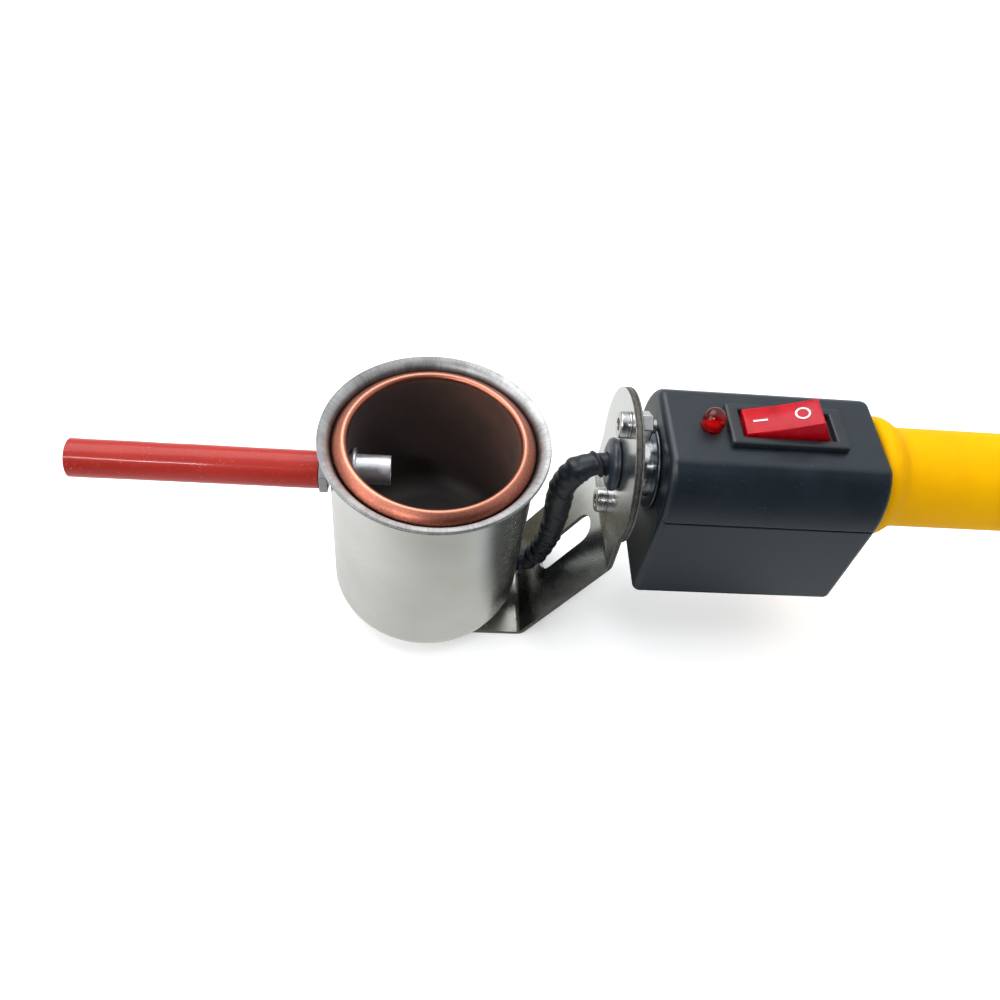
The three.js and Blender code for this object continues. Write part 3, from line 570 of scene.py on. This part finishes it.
def make_cup(steel, rim_steel):
    """Drawn cup: round bottom edge, straight wall and a flared rim with a rolled edge."""
    wall, fillet, bottom = 0.9, 8.3, 1.4
    flare_r, top_angle = 4.0, 105
    top = math.radians(top_angle)
    centre = (SHELL_R + flare_r, RIM_Z - (flare_r + wall) * math.sin(top))
    outside = ([(0, bottom)]
               + arc(SHELL_R - fillet, bottom + fillet, fillet, fillet, -90, 0, 20)
               + [(SHELL_R, z) for z in (20, 30, 40, 50, 58)])
    flare_out = arc(*centre, flare_r, flare_r, 180, top_angle + 3, 18)
    half_wall = wall / 2
    edge_x = centre[0] + (flare_r + half_wall) * math.cos(top)
    edge_z = centre[1] + (flare_r + half_wall) * math.sin(top)
    edge = arc(edge_x, edge_z, half_wall, half_wall, top_angle - 180, top_angle - 360, 8)
    flare_in = arc(*centre, flare_r + wall, flare_r + wall, top_angle, 180, 20)
    bore = SHELL_R - wall
    inner = fillet - wall
    inside = ([(bore, z) for z in (50, 30, 16)]
              + arc(SHELL_R - fillet, bottom + fillet, inner, inner, 0, -90, 12)
              + [(0, bottom + wall)])
    profile = mm(outside + flare_out + edge + flare_in + inside)

    def uneven(turn, along):
        """Slightly out of round towards the rim."""
        return 0.00004 * math.sin(3 * turn + 1) * max(0, along / 0.066 - 0.5)

    piece = lathe("cup_shell_look", profile, [steel, rim_steel], segments=192, angle=60, wobble=uneven)
    edge_faces(piece, lambda normal, middle: middle.z > 62.9 * MM and middle.xy.length > 26.6 * MM)
    take_place(piece, BODY, ["cup_shell"])


def make_crucible(material):
    """Turned crucible with a round-bottomed bowl and a lip that fills the cup's mouth."""
    bowl, fillet, outer = 22.4, 6, 24.4
    floor_z, base_z = 20, 13.4
    lip = smoothed([(bowl, 60), (bowl, 64.4), (22.7, 65.6), (23.4, 66.15), (24.1, 66.1), (25.5, 65.2),
                    (26.65, 64.0), (26.5, 63.1), (25.4, 61.8), (outer, 60.6), (outer, 58)], 0.6, 4)
    inside = ([(0, floor_z)] + arc(bowl - fillet, floor_z + fillet, fillet, fillet, -90, 0, 14)
              + [(bowl, z) for z in (30, 36, 42, 48, 54)])
    outside = [(outer, 40), (outer, base_z + 4), (outer - 4, base_z), (0, base_z)]
    piece = lathe("crucible_look", mm(inside + lip + outside), material, segments=192, angle=50)
    take_place(piece, BODY, ["crucible"])


# ---------------------------------------------------------------- nozzle
NOZZLE_AXIS = (0, 0, 51 * MM)


def make_pipe(steel):
    """Steel pipe with a small collar; the stub inside the crucible stands a little higher."""
    bore, outer = 3, 4
    tip, stub_end = -90, -11.3
    bend_from, bend_to, stub_lift = -27, -22, 1.2
    outside = ([(bore, tip)] + [(outer, x) for x in (tip, -50, bend_from, -25, -23, -21.6)]
               + [(5.5, -21.5), (5.6, -21.0), (5.5, -20.6), (outer, -20.5), (outer, stub_end)])
    inside = [(bore, x) for x in (stub_end, bend_to, -24, bend_from, tip)]
    pipe = smoothed(outside + inside, 0.15, 3)
    piece = lathe("nozzle_pipe_look", mm(pipe), steel, segments=72, axis="X", centre=NOZZLE_AXIS)
    for vert in piece.data.vertices:
        rise = climb(vert.co.x / MM, bend_from, bend_to)
        vert.co.z += stub_lift * MM * rise * rise * (3 - 2 * rise)
    take_place(piece, BODY, ["nozzle_pipe"])


def make_nozzle_sleeve(sleeve):
    """Silicone tube pushed over the pipe, not quite round."""
    bore, outer = 4.15, 5.1
    tip, root = -94.4, -30.3
    steps = 40

    def soft(turn, along):
        return 0.00006 * noise.noise(Vector((math.cos(turn), math.sin(turn), along * 120)))

    mouth = [(bore, root), (bore, tip + 0.2), (4.35, tip - 0.15), (4.85, tip - 0.2)]
    wall = [(outer, tip + (root - tip) * i / steps) for i in range(steps + 1)]
    tube = mouth + wall + [(4.9, root + 0.1), (bore, root)]
    piece = lathe("nozzle_sleeve_look", mm(tube), sleeve, segments=96, axis="X", centre=NOZZLE_AXIS,
                  wobble=soft)
    take_place(piece, BODY, ["nozzle_sleeve"])


# ---------------------------------------------------------------- heater lead
# Centre line of the lead in mm, from the neck down to the bush in the cup.
LEAD_ROUTE = [
    (53, 0, 59.5), (49, 0, 59.5), (45.5, 0, 59.5), (42.3, 0, 58.9), (39.5, 0, 57.1), (37.4, 0, 54.0),
    (36.2, 0, 49.8), (35.8, 0, 45), (36.0, 0, 39), (36.0, 0, 33), (35.5, 0, 26.5), (34.4, 0, 20),
    (32.6, 0, 15.4), (30.2, 0, 12.9), (27.6, 0, 12.4), (24.6, 0, 12.4), (21.5, 0, 12.4),
]
LEAD_RADIUS = 3.0
BUSH_RADIUS = 3.1

# Tape rings near the grommet: place along the lead, lean, height and width, in mm.
LEAD_RINGS = ((9.3, 1.2, 0.75, 0.45), (14.8, 1.6, 0.2, 0.7))


def catmull(points, per_span):
    """Points of a smooth curve through the route."""
    ends = [2 * points[0] - points[1]] + points + [2 * points[-1] - points[-2]]
    out = []
    for a, b, c, d in zip(ends, ends[1:], ends[2:], ends[3:]):
        for i in range(per_span):
            t = i / per_span
            out.append(0.5 * (2 * b + (c - a) * t + (2 * a - 5 * b + 4 * c - d) * t * t
                              + (3 * b - a - 3 * c + d) * t ** 3))
    out.append(points[-1])
    return out


def lead_noise(along, turn, around, onwards, shift=0):
    """Smooth noise over the lead's surface, with its own scale round and along it."""
    place = (math.cos(turn) * around + shift, math.sin(turn) * around, along * onwards)
    return noise.noise(Vector(place))


def lead_radius(along, turn):
    """Radius of the lead in mm: a smooth sleeve, then tape wound round it, wrinkled at bends."""
    taped = climb(along, 13, 15) * climb(along, 66, 63)
    thick = climb(along, 10, 14) * climb(along, 46, 34)
    inner_bend = max(0, -math.sin(turn)) * climb(along, 12, 14) * climb(along, 27, 23)
    lower_bend = climb(along, 40, 46) * climb(along, 62, 59)
    tape_pitch, tape_step, lap = 9.5, 0.26, 0.04

    radius = LEAD_RADIUS + 0.6 * thick
    step = (along / tape_pitch + turn / (2 * math.pi)) % 1
    radius += taped * tape_step * (1 - step) ** 1.4 * climb(step, 0, lap)
    radius += taped * 0.24 * lead_noise(along, turn, 1.1, 0.3, shift=4)
    radius += taped * 0.07 * lead_noise(along, turn, 2.6, 0.9)
    for place, lean, height, width in LEAD_RINGS:
        radius += height * math.exp(-((along - place - lean * math.cos(turn)) / width) ** 2)
    radius += 0.2 * inner_bend * math.sin(along * 2.2)
    radius += 0.3 * lower_bend * math.sin(along * 1.7 + 0.9 * math.sin(turn))
    return radius


def make_lead(material):
    """The heater lead, swept along its route; plain where it runs through the bush."""
    route = catmull([Vector(p) for p in LEAD_ROUTE], 24)
    sides = 48
    work = bmesh.new()
    rings, along = [], 0.0
    for i, point in enumerate(route):
        if i:
            along += (point - route[i - 1]).length
        ahead = route[min(i + 1, len(route) - 1)] - route[max(i - 1, 0)]
        ahead.normalize()
        side = Vector((0, 1, 0))
        other = ahead.cross(side)
        in_bush = point.x < 29.5 and point.z < 16
        ring = []
        for k in range(sides):
            turn = 2 * math.pi * k / sides
            radius = BUSH_RADIUS if in_bush else lead_radius(along, turn)
            outwards = math.cos(turn) * side + math.sin(turn) * other
            ring.append(work.verts.new((point + radius * outwards) * MM))
        rings.append(ring)
    skin(work, rings)
    piece = from_bmesh("heater_lead_look", work, material, 55)
    take_place(piece, BODY, ["heater_lead"])


# ---------------------------------------------------------------- back plate
NECK_AXIS = (0, 0, 59.5 * MM)


def make_plate_screw(side, z, material):
    """Socket screw: a head with a recess, on a plain shank."""
    head_from, head_to, recess = 46.1, 48.3, 47.5
    head_r, shank_r, socket_r = 3.5, 1.9, 1.6
    tip = 55.9
    head = smoothed([(1.75, head_from), (3.2, head_from), (head_r, head_from + 0.35), (head_r, head_to),
                     (shank_r, head_to), (shank_r, tip - 0.2), (1.6, tip), (0, tip)], 0.12, 3)
    socket = [(0, recess), (socket_r, recess), (socket_r, head_from + 0.15)]
    piece = lathe(f"plate_screw_{side}_look", mm(socket + head), material, segments=60, axis="X",
                  centre=(0, 0, z * MM), angle=30)
    take_place(piece, BODY, [f"plate_screw_{side}"])


def make_grommet(material):
    """Rubber grommet with a domed front flange and a thin rear one."""
    bore, waist, rear_r = 3.4, 5, 6.4
    front, rear = 46.2, 53.2
    profile = smoothed([(bore, front), (5.4, front), (7.0, 46.9), (7.3, 47.9), (6.9, 48.8), (waist, 48.9),
                        (waist, 52.4), (rear_r, 52.4), (rear_r, rear), (bore, rear), (bore, front)], 0.6, 5)
    piece = lathe("plate_grommet_look", mm(profile), material, segments=72, axis="X", centre=NECK_AXIS)
    take_place(piece, BODY, ["plate_grommet"])


# ---------------------------------------------------------------- neck
def make_neck(material, collar_material):
    """Tube from the back plate into the box, and the thin flange that closes the hole round it."""
    bore, outer, start, end = 6.9, 8, 52.4, 66
    tube = [(bore, start), (outer, start), (outer, end), (bore, end), (bore, start)]
    hole, rim, front, back = 8.15, 11.6, 57.1, 57.9
    collar = smoothed([(hole, front), (11.0, front), (rim, 57.35), (rim, back), (hole, back),
                       (hole, front)], 0.2, 4)
    for node, profile, metal in (("neck_tube", tube, material), ("neck_collar", collar, collar_material)):
        piece = lathe(f"{node}_look", mm(profile), metal, segments=96, axis="X", centre=NECK_AXIS)
        take_place(piece, BODY, [node])


# ---------------------------------------------------------------- switch box
# In mm: start and end along X, heights along Z, half widths along Y, and radii.
BOX = {"start": 58.1, "end": 116.2, "top": 76.5, "split": 60.5, "bottom": 26.9, "half": 20.0,
       "top_half": 12.1, "arc": 18.0, "corner": 2.8, "bevel": 2.0}


def box_outline():
    """Cross section of the box as (y, z) in mm, counter-clockwise."""
    rise = math.degrees(math.asin((BOX["top"] - BOX["split"]) / BOX["arc"]))
    width = (BOX["half"] - BOX["top_half"]) / (1 - math.cos(math.radians(rise)))
    c = BOX["corner"]
    right = (arc(BOX["half"] - c, BOX["bottom"] + c, c, c, -90, 0, 8)
             + [(BOX["half"], z) for z in (40, 50)]
             + arc(BOX["half"] - width, BOX["split"], width, BOX["arc"], 0, rise, 20))
    crest = right[-1]
    right = right[:-4] + smoothed([right[-4], crest, (crest[0] - 3, crest[1])], 1.3, 8)
    return right + [(-y, z) for y, z in reversed(right)]


def inset(outline, amount):
    """The outline moved inwards, square to its own tangent."""
    out = []
    count = len(outline)
    for i, (y, z) in enumerate(outline):
        here = Vector((y, z))
        before, after = Vector(outline[i - 1]), Vector(outline[(i + 1) % count])
        tangent = (here - before).normalized() + (after - here).normalized()
        tangent.normalize()
        inward = Vector((-tangent.y, tangent.x))
        out.append(here + inward * amount)
    return out


def box_half(node, side, material):
    """One half of the box, above (side 1) or below (side -1) the parting line."""
    outline = box_outline()
    bevel, steps, parting = BOX["bevel"], 8, 0.14
    near = [(BOX["start"], bevel)]
    for i in range(1, steps + 1):
        turn = math.radians(90 * i / steps)
        near.append((BOX["start"] + bevel * (1 - math.cos(turn)), bevel * (1 - math.sin(turn))))
    middle = [(x, 0) for x in (70, 80, 90, 100, 108)]
    far = [(BOX["start"] + BOX["end"] - x, depth) for x, depth in reversed(near)]
    work = bmesh.new()
    skin(work, [[work.verts.new(Vector((x, p.x, p.y)) * MM) for p in inset(outline, depth)]
                for x, depth in near + middle + far])
    bmesh.ops.recalc_face_normals(work, faces=work.faces)
    cut_z = (BOX["split"] + side * parting) * MM
    everything = work.verts[:] + work.edges[:] + work.faces[:]
    cut = bmesh.ops.bisect_plane(work, geom=everything, plane_co=(0, 0, cut_z), plane_no=(0, 0, -side),
                                 clear_outer=True)
    edges = [e for e in cut["geom_cut"] if isinstance(e, bmesh.types.BMEdge)]
    bmesh.ops.holes_fill(work, edges=edges)
    piece = from_bmesh(node.replace("shell", "look"), work, material, 50)
    rounded(piece, 0.0003, 3, 60)
    take_place(piece, BODY, [node])


# ---------------------------------------------------------------- switch
SWITCH_X, BOX_TOP = 89.65, 76.6
ROCKER_PIVOT_Z, ROCKER_TOP_HALF = 74, 9.6
ROCKER_TILT = 16.9  # degrees


def rectangle(half_x, half_y, corner):
    """Rounded rectangle round the origin."""
    points = []
    for sx, sy, start in ((1, 1, 0), (-1, 1, 90), (-1, -1, 180), (1, -1, 270)):
        points += arc(sx * (half_x - corner), sy * (half_y - corner), corner, corner, start, start + 90, 6)
    return points


def make_switch_housing(material):
    """Bezel with a soft outer edge, a raised lip round the well and the dark well itself."""
    # Half length, half width, corner radius and height over the box.
    levels = [
        (15.5, 7.0, 0.7, 0.0), (15.5, 7.0, 0.7, 1.25), (15.38, 6.88, 0.65, 1.6), (15.05, 6.55, 0.6, 1.86),
        (14.7, 6.2, 0.5, 1.9), (13.0, 5.35, 0.4, 1.9), (12.6, 5.0, 0.4, 1.86), (12.36, 4.78, 0.3, 1.7),
        (12.2, 4.6, 0.25, 1.3), (12.2, 4.6, 0.25, -10.0),
    ]
    work = bmesh.new()
    skin(work, [[work.verts.new(Vector((SWITCH_X + x, y, BOX_TOP + z)) * MM)
                 for x, y in rectangle(half_x, half_y, corner)]
                for half_x, half_y, corner, z in levels])
    piece = from_bmesh("switch_housing_look", work, material, 30)
    take_place(piece, BODY, ["switch_housing"])


def tilted(x, y, z):
    """From the rocker's own upright frame (mm, about its pivot) to the object at rest."""
    angle = math.radians(ROCKER_TILT)
    return Vector((SWITCH_X + x * math.cos(angle) - z * math.sin(angle), y,
                   ROCKER_PIVOT_Z + x * math.sin(angle) + z * math.cos(angle))) * MM


def rocker_top(x):
    """Height of the rocker's dished top over its pivot."""
    return 7.62 + 0.42 * (abs(x) / ROCKER_TOP_HALF) ** 1.6


def rocker_outline():
    """Side view of the upright rocker as (x, z) in mm about its pivot."""
    steps = 24
    stations = [ROCKER_TOP_HALF - 2 * ROCKER_TOP_HALF * i / steps for i in range(steps + 1)]
    top = [(x, rocker_top(x)) for x in stations]
    right_end, left_end = (11.35, 1.1), (-11.35, 1.1)
    right_corner = smoothed([right_end] + top[:2], 0.3, 3)[1:-1]
    left_corner = smoothed(top[-2:] + [left_end], 0.3, 3)[1:]
    return ([(5, -5.4), (10.5, -3), right_end] + right_corner + top[1:-1] + left_corner
            + [(-10.5, -3), (-5, -5.4)])


def make_rocker(material, mark):
    """The rocker with soft side edges, and the marks printed on it."""
    half, edge, break_in = 4.3, 0.25, 0.07
    middle = Vector((0, 1.5))
    outline = rocker_outline()
    work = bmesh.new()
    sections = []
    for y, pull in ((-half, edge), (-half + break_in, break_in), (-half + edge, 0), (half - edge, 0),
                    (half - break_in, break_in), (half, edge)):
        ring = []
        for x, z in outline:
            towards = (middle - Vector((x, z))).normalized()
            ring.append(work.verts.new(tilted(x + towards.x * pull, y, z + towards.y * pull)))
        sections.append(ring)
    skin(work, sections)
    piece = from_bmesh("rocker_look", work, material, 30)
    take_place(piece, ROCKER_BODY, ["rocker"])

    dash = [(-7.4 + 3.6 * u, v * 0.24 - 0.2) for u, v in ((0, -1), (1, -1), (1, 1), (0, 1))]
    inlay("mark_on", dash, None, mark)
    ring_out, ring_in = (arc(5.0, 0.25, radius, radius, 0, 360, 48)[:-1] for radius in (1.9, 1.45))
    inlay("mark_off", ring_out, ring_in, mark)


def inlay(name, outer, inner, material):
    """Thin printed mark that follows the rocker's top; inner is the hole in it, if any."""
    work = bmesh.new()
    lift, sink = 0.03, -0.1

    def loop(points, dz):
        return [work.verts.new(tilted(x, y, rocker_top(x) + dz)) for x, y in points]

    high, low = loop(outer, lift), loop(outer, sink)
    if inner:
        high_in, low_in = loop(inner, lift), loop(inner, sink)
        count = len(high)
        for near, far in ((low, high), (high, high_in), (low, low_in), (low_in, high_in)):
            for k in range(count):
                ahead = (k + 1) % count
                work.faces.new((near[k], near[ahead], far[ahead], far[k]))
    else:
        skin(work, [low, high])
    piece = from_bmesh(name, work, material)
    take_place(piece, ROCKER_BODY, [])


def make_lamp(lens, core):
    """Domed lens with its chip inside."""
    axis = (70.2 * MM, 0, 0)
    radius, flange, foot, shoulder, dome = 3, 3.7, 72.4, 74, 79.2
    bulb = arc(0, dome, radius, radius, 0, 90, 24)[:-1] + [(0, dome + radius)]
    profile = [(0, foot), (flange, foot), (flange, shoulder), (radius, shoulder), (radius, 76.5)] + bulb
    piece = lathe("indicator_lamp_look", mm(profile), lens, segments=72, centre=axis)
    take_place(piece, BODY, ["indicator_lamp"])
    chip = [(0, 75.2), (1.5, 75.2), (1.7, 76.6), (1.2, 77.9), (0.6, 78.3), (0, 78.3)]
    piece = lathe("lamp_core", mm(chip), core, segments=32, centre=axis)
    take_place(piece, BODY, [])


# ---------------------------------------------------------------- handle
def make_grip(material):
    """Rubber grip with a thick bead at the box and a small one at its rear end."""
    bore, outer, front, back = 10.95, 13.6, 116.5, 220
    bead = smoothed([(bore, front), (14.4, front), (15.9, 117.3), (16.4, 118.9), (16.1, 120.5),
                     (15.0, 122.3), (13.9, 123.9), (outer, 126), (outer, 130)], 0.8, 5)
    middle = [(outer, x) for x in range(140, 211, 10)]
    rear = smoothed([(outer, 213), (13.7, 214.4), (14.6, 216), (15, 218), (14.2, back), (bore, back)], 0.8, 5)
    profile = bead + middle + rear + [(bore, front)]
    piece = lathe("handle_grip_look", mm(profile), material, segments=160, axis="X",
                  centre=(0, 0, 60.4 * MM), angle=50)
    take_place(piece, BODY, ["handle_grip"])


# ---------------------------------------------------------------- stage
def soft_ellipse(m, place, size, turn=0):
    """1 inside an ellipse on the floor and 0 outside it, with a soft edge; turn in degrees."""
    moved = m.node("ShaderNodeMapping", vector_type="TEXTURE")
    moved.inputs["Location"].default_value = (*place, 0)
    moved.inputs["Rotation"].default_value = (0, 0, math.radians(turn))
    moved.inputs["Scale"].default_value = (*size, 1)
    m.link(m.place, moved.inputs["Vector"])
    reach = m.node("ShaderNodeVectorMath", operation="LENGTH")
    m.link(moved.outputs["Vector"], reach.inputs[0])
    return m.spread(reach.outputs["Value"], 0.8, 1.15, 1, 0)


def mirrored_tone(m):
    """What the metal sees of the floor, painted light and shade: paler to the left and behind, dark far in
    front, a painted shadow under the box and painted shade behind the cup."""
    across = m.spread(m.axis("X"), -0.09, 0.09)
    tone = m.ramp(across, [
        (0.0, grey(1.22)), (0.47, (0.75, 0.76, 0.73)), (0.68, (0.69, 0.70, 0.66)),
        (0.85, (0.74, 0.80, 0.85)),
    ])
    far_in_front = m.spread(m.axis("Y"), -0.21, -0.04, 0.8, 0)
    tone = m.mix(far_in_front, tone, grey(0))
    behind = m.spread(m.axis("Y"), 0, 0.03, 0, 0.6)
    tone = m.mix(behind, tone, (1.15, 1.17, 1.15))
    # Painted shadow under the box and painted shade behind the cup, seen only in reflections.
    painted_shadow_under_box = soft_ellipse(m, (0.077, 0.0024), (0.048, 0.048))
    tone = m.mix(painted_shadow_under_box, tone, (0.06, 0.063, 0.058))
    painted_shade_behind_cup = soft_ellipse(m, (-0.012, 0.046), (0.062, 0.024), 141)
    return m.mix(painted_shade_behind_cup, tone, (0.115, 0.105, 0.065))


def make_floor():
    """White floor that lights itself a little; shiny metal sees its mirrored tone instead."""
    m = Nodes("floor_white", Roughness=0.9, Emission_Color=grey(1))
    m.color(m.ramp(m.noise(3, 2), [(0.3, grey(0.86)), (0.7, grey(0.88))]))
    path = m.node("ShaderNodeLightPath")
    glow = m.spread(path.outputs["Is Diffuse Ray"], 0, 1, 0.35, 0.0)
    m.link(glow, m.shader.inputs["Emission Strength"])
    reflected = m.node("ShaderNodeEmission")
    m.link(mirrored_tone(m), reflected.inputs["Color"])
    blend = m.node("ShaderNodeMixShader")
    m.link(path.outputs["Is Glossy Ray"], blend.inputs["Fac"])
    m.link(m.shader.outputs["BSDF"], blend.inputs[1])
    m.link(reflected.outputs["Emission"], blend.inputs[2])
    m.link(blend.outputs["Shader"], m.tree.nodes["Material Output"].inputs["Surface"])

    work = bmesh.new()
    bmesh.ops.create_grid(work, x_segments=4, y_segments=4, size=3)
    work.transform(Matrix.Translation((0, 0, -0.0002)))
    from_bmesh("floor", work, m.material)


def make_sky():
    """Pale backdrop for the eye; every other ray sees a sky that is dark towards the front."""
    world = bpy.data.worlds.new("studio")
    bpy.context.scene.world = world
    world.use_nodes = True
    tree = world.node_tree

    place = tree.nodes.new("ShaderNodeTexCoord")
    split = tree.nodes.new("ShaderNodeSeparateXYZ")
    tree.links.new(place.outputs["Generated"], split.inputs["Vector"])

    height = tree.nodes.new("ShaderNodeValToRGB")
    tree.links.new(split.outputs["Z"], height.inputs["Fac"])
    low, high = height.color_ramp.elements
    low.color = (0.42, 0.43, 0.45, 1)
    high.position = 0.7
    high.color = (0.93, 0.97, 1.0, 1)

    front = tree.nodes.new("ShaderNodeMapRange")
    tree.links.new(split.outputs["Y"], front.inputs["Value"])
    for key, value in (("From Min", -0.5), ("From Max", -0.05), ("To Min", 1.0), ("To Max", 0.0)):
        front.inputs[key].default_value = value

    path = tree.nodes.new("ShaderNodeLightPath")
    dark_front, pale_backdrop = (0.035, 0.037, 0.04, 1), (0.9, 0.91, 0.92, 1)
    color = height.outputs["Color"]
    for factor, other in ((front.outputs["Result"], dark_front),
                          (path.outputs["Is Camera Ray"], pale_backdrop)):
        mix = tree.nodes.new("ShaderNodeMix")
        mix.data_type = "RGBA"
        tree.links.new(factor, mix.inputs[MIX_FACTOR])
        tree.links.new(color, mix.inputs[MIX_FIRST])
        mix.inputs[MIX_SECOND].default_value = other
        color = mix.outputs[MIX_RESULT]
    sky = tree.nodes["Background"]
    tree.links.new(color, sky.inputs["Color"])
    sky.inputs["Strength"].default_value = 1.0


def softbox(name, place, target, size, power, mirrored=True):
    """Rectangular studio light; shiny metal doesn't see it where mirrored is False."""
    data = bpy.data.lights.new(name, "AREA")
    data.shape = "RECTANGLE"
    data.size, data.size_y = size
    data.energy = power
    light = bpy.data.objects.new(name, data)
    light.location = Vector(place)
    light.visible_glossy = mirrored
    light.rotation_euler = (Vector(target) - Vector(place)).to_track_quat("-Z", "Y").to_euler()
    bpy.context.scene.collection.objects.link(light)


# ---------------------------------------------------------------- assembly
def dress(material, nodes):
    """Gives CAD nodes that keep their shape a material of their own."""
    for node in nodes:
        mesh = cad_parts[node].data
        mesh.materials.clear()
        mesh.materials.append(material)


def numbered(stem, count):
    """Names of pieces that differ only in their number."""
    return [f"{stem}_{k}" for k in range(1, count + 1)]


def on_strip_edge(normal, middle):
    """The cut outline of the bent strip, without the walls of its slot."""
    long_side = abs(normal.y) > 0.75 and abs(middle.y) > 8 * MM
    round_end = middle.x > 48.5 * MM and abs(normal.x) < 0.3
    return long_side or round_end


make_camera()
make_floor()
make_sky()
softbox("key", (-0.35, 0.5, 0.95), (0.05, 0, 0.04), (1.1, 0.8), 9)
softbox("top", (0.3, 0.1, 1.0), (0.08, 0, 0.04), (0.8, 0.7), 4, mirrored=False)
softbox("left", (-0.8, -0.3, 0.5), (0, 0, 0.04), (0.5, 0.6), 3)
softbox("strip", (-0.36, -0.62, 0.78), (-0.08, 0, 0.055), (0.17, 0.04), 2.2)

fastener = bright_metal("fastener", grey(0.66), 0.18)
nozzle_steel = bright_metal("nozzle_steel", (0.80, 0.80, 0.83), 0.24, speckle=0.3, metallic=0.85)
dull_nut = bright_metal("dull_nut", grey(0.34), 0.28)
chrome = bright_metal("neck_chrome", grey(0.86), 0.05)
flange = bright_metal("neck_flange", (0.20, 0.23, 0.26), 0.28)
brass = bright_metal("brass", (0.82, 0.62, 0.28), 0.2)
sheet = bracket_steel()
edge = cut_edge()
rubber_black = plastic("rubber_black", (0.011, 0.016, 0.026), (0.016, 0.023, 0.037), 0.28)
box_black = plastic("box_black", (0.006, 0.011, 0.016), (0.009, 0.016, 0.023), 0.34, dust=0.3)
switch_black = plastic("switch_black", (0.010, 0.013, 0.016), (0.016, 0.021, 0.026), 0.38)
core_black = plastic("core_black", (0.018, 0.020, 0.022), (0.03, 0.033, 0.036), 0.45)
mark_white = plastic("mark_white", grey(0.85), grey(0.92), 0.4)
lamp_chip = plastic("lamp_chip", (0.75, 0.12, 0.03), (0.85, 0.2, 0.05), 0.3)
green = plastic("board_green", (0.02, 0.13, 0.05), (0.03, 0.17, 0.07), 0.35)
blue = plastic("relay_blue", (0.015, 0.06, 0.30), (0.02, 0.08, 0.36), 0.3)
wire_red = plastic("wire_red", (0.35, 0.01, 0.01), (0.45, 0.015, 0.015), 0.35)
dark_fibre = ceramic("dark_fibre", (0.045, 0.05, 0.045))
white_ceramic = ceramic("white_ceramic", (0.82, 0.8, 0.74))
mica = ceramic("mica_band", (0.42, 0.36, 0.22))

make_cup(drawn_steel(), mottled_steel())
make_crucible(copper())
make_pipe(nozzle_steel)
make_nozzle_sleeve(red_silicone())
refined("nozzle_nut", dull_nut, 0.0003)
strip = refined("bracket", [sheet, edge], 0.00018, 2)
edge_faces(strip, on_strip_edge)
plate = refined("back_plate", [sheet, edge], 0.0002, 2)
edge_faces(plate, lambda normal, middle: abs(normal.x) < 0.5)
for side, height in (("upper", 75.1), ("lower", 43.9)):
    make_plate_screw(side, height, fastener)
    refined(f"plate_washer_{side}", fastener, 0.0001)
    refined(f"plate_nut_{side}", fastener, 0.0003)
make_lead(black_sleeve())
make_grommet(rubber_black)
make_neck(chrome, flange)
box_half("box_upper_shell", 1, box_black)
box_half("box_lower_shell", -1, box_black)
make_switch_housing(switch_black)
make_rocker(rocker_red(), mark_white)
make_lamp(lamp_red(), lamp_chip)
make_grip(yellow_rubber())
for node in ("end_cap", "cable_gland"):
    refined(node, core_black, 0.0004)

dress(white_ceramic, ["thermostat", "fuse", "insulation_pad"] + numbered("ceramic_spacer", 3))
dress(dark_fibre, ["insulation_wrap"])
dress(mica, ["heater_band"])
dress(fastener, numbered("foot_screw", 3) + numbered("box_screw", 4) + numbered("lamp_leg", 2))
dress(fastener, ["neck_lock_ring", "handle_lock_ring"])
dress(brass, numbered("switch_terminal", 3))
dress(green, ["circuit_board", "terminal_block"])
dress(blue, ["relay"])
dress(wire_red, numbered("heater_core", 2) + ["switch_wire_in", "switch_wire_out"])
dress(rubber_black, ["lead_bush"])
dress(core_black, ["handle_tube"])

bpy.context.scene.view_settings.view_transform = "Standard"
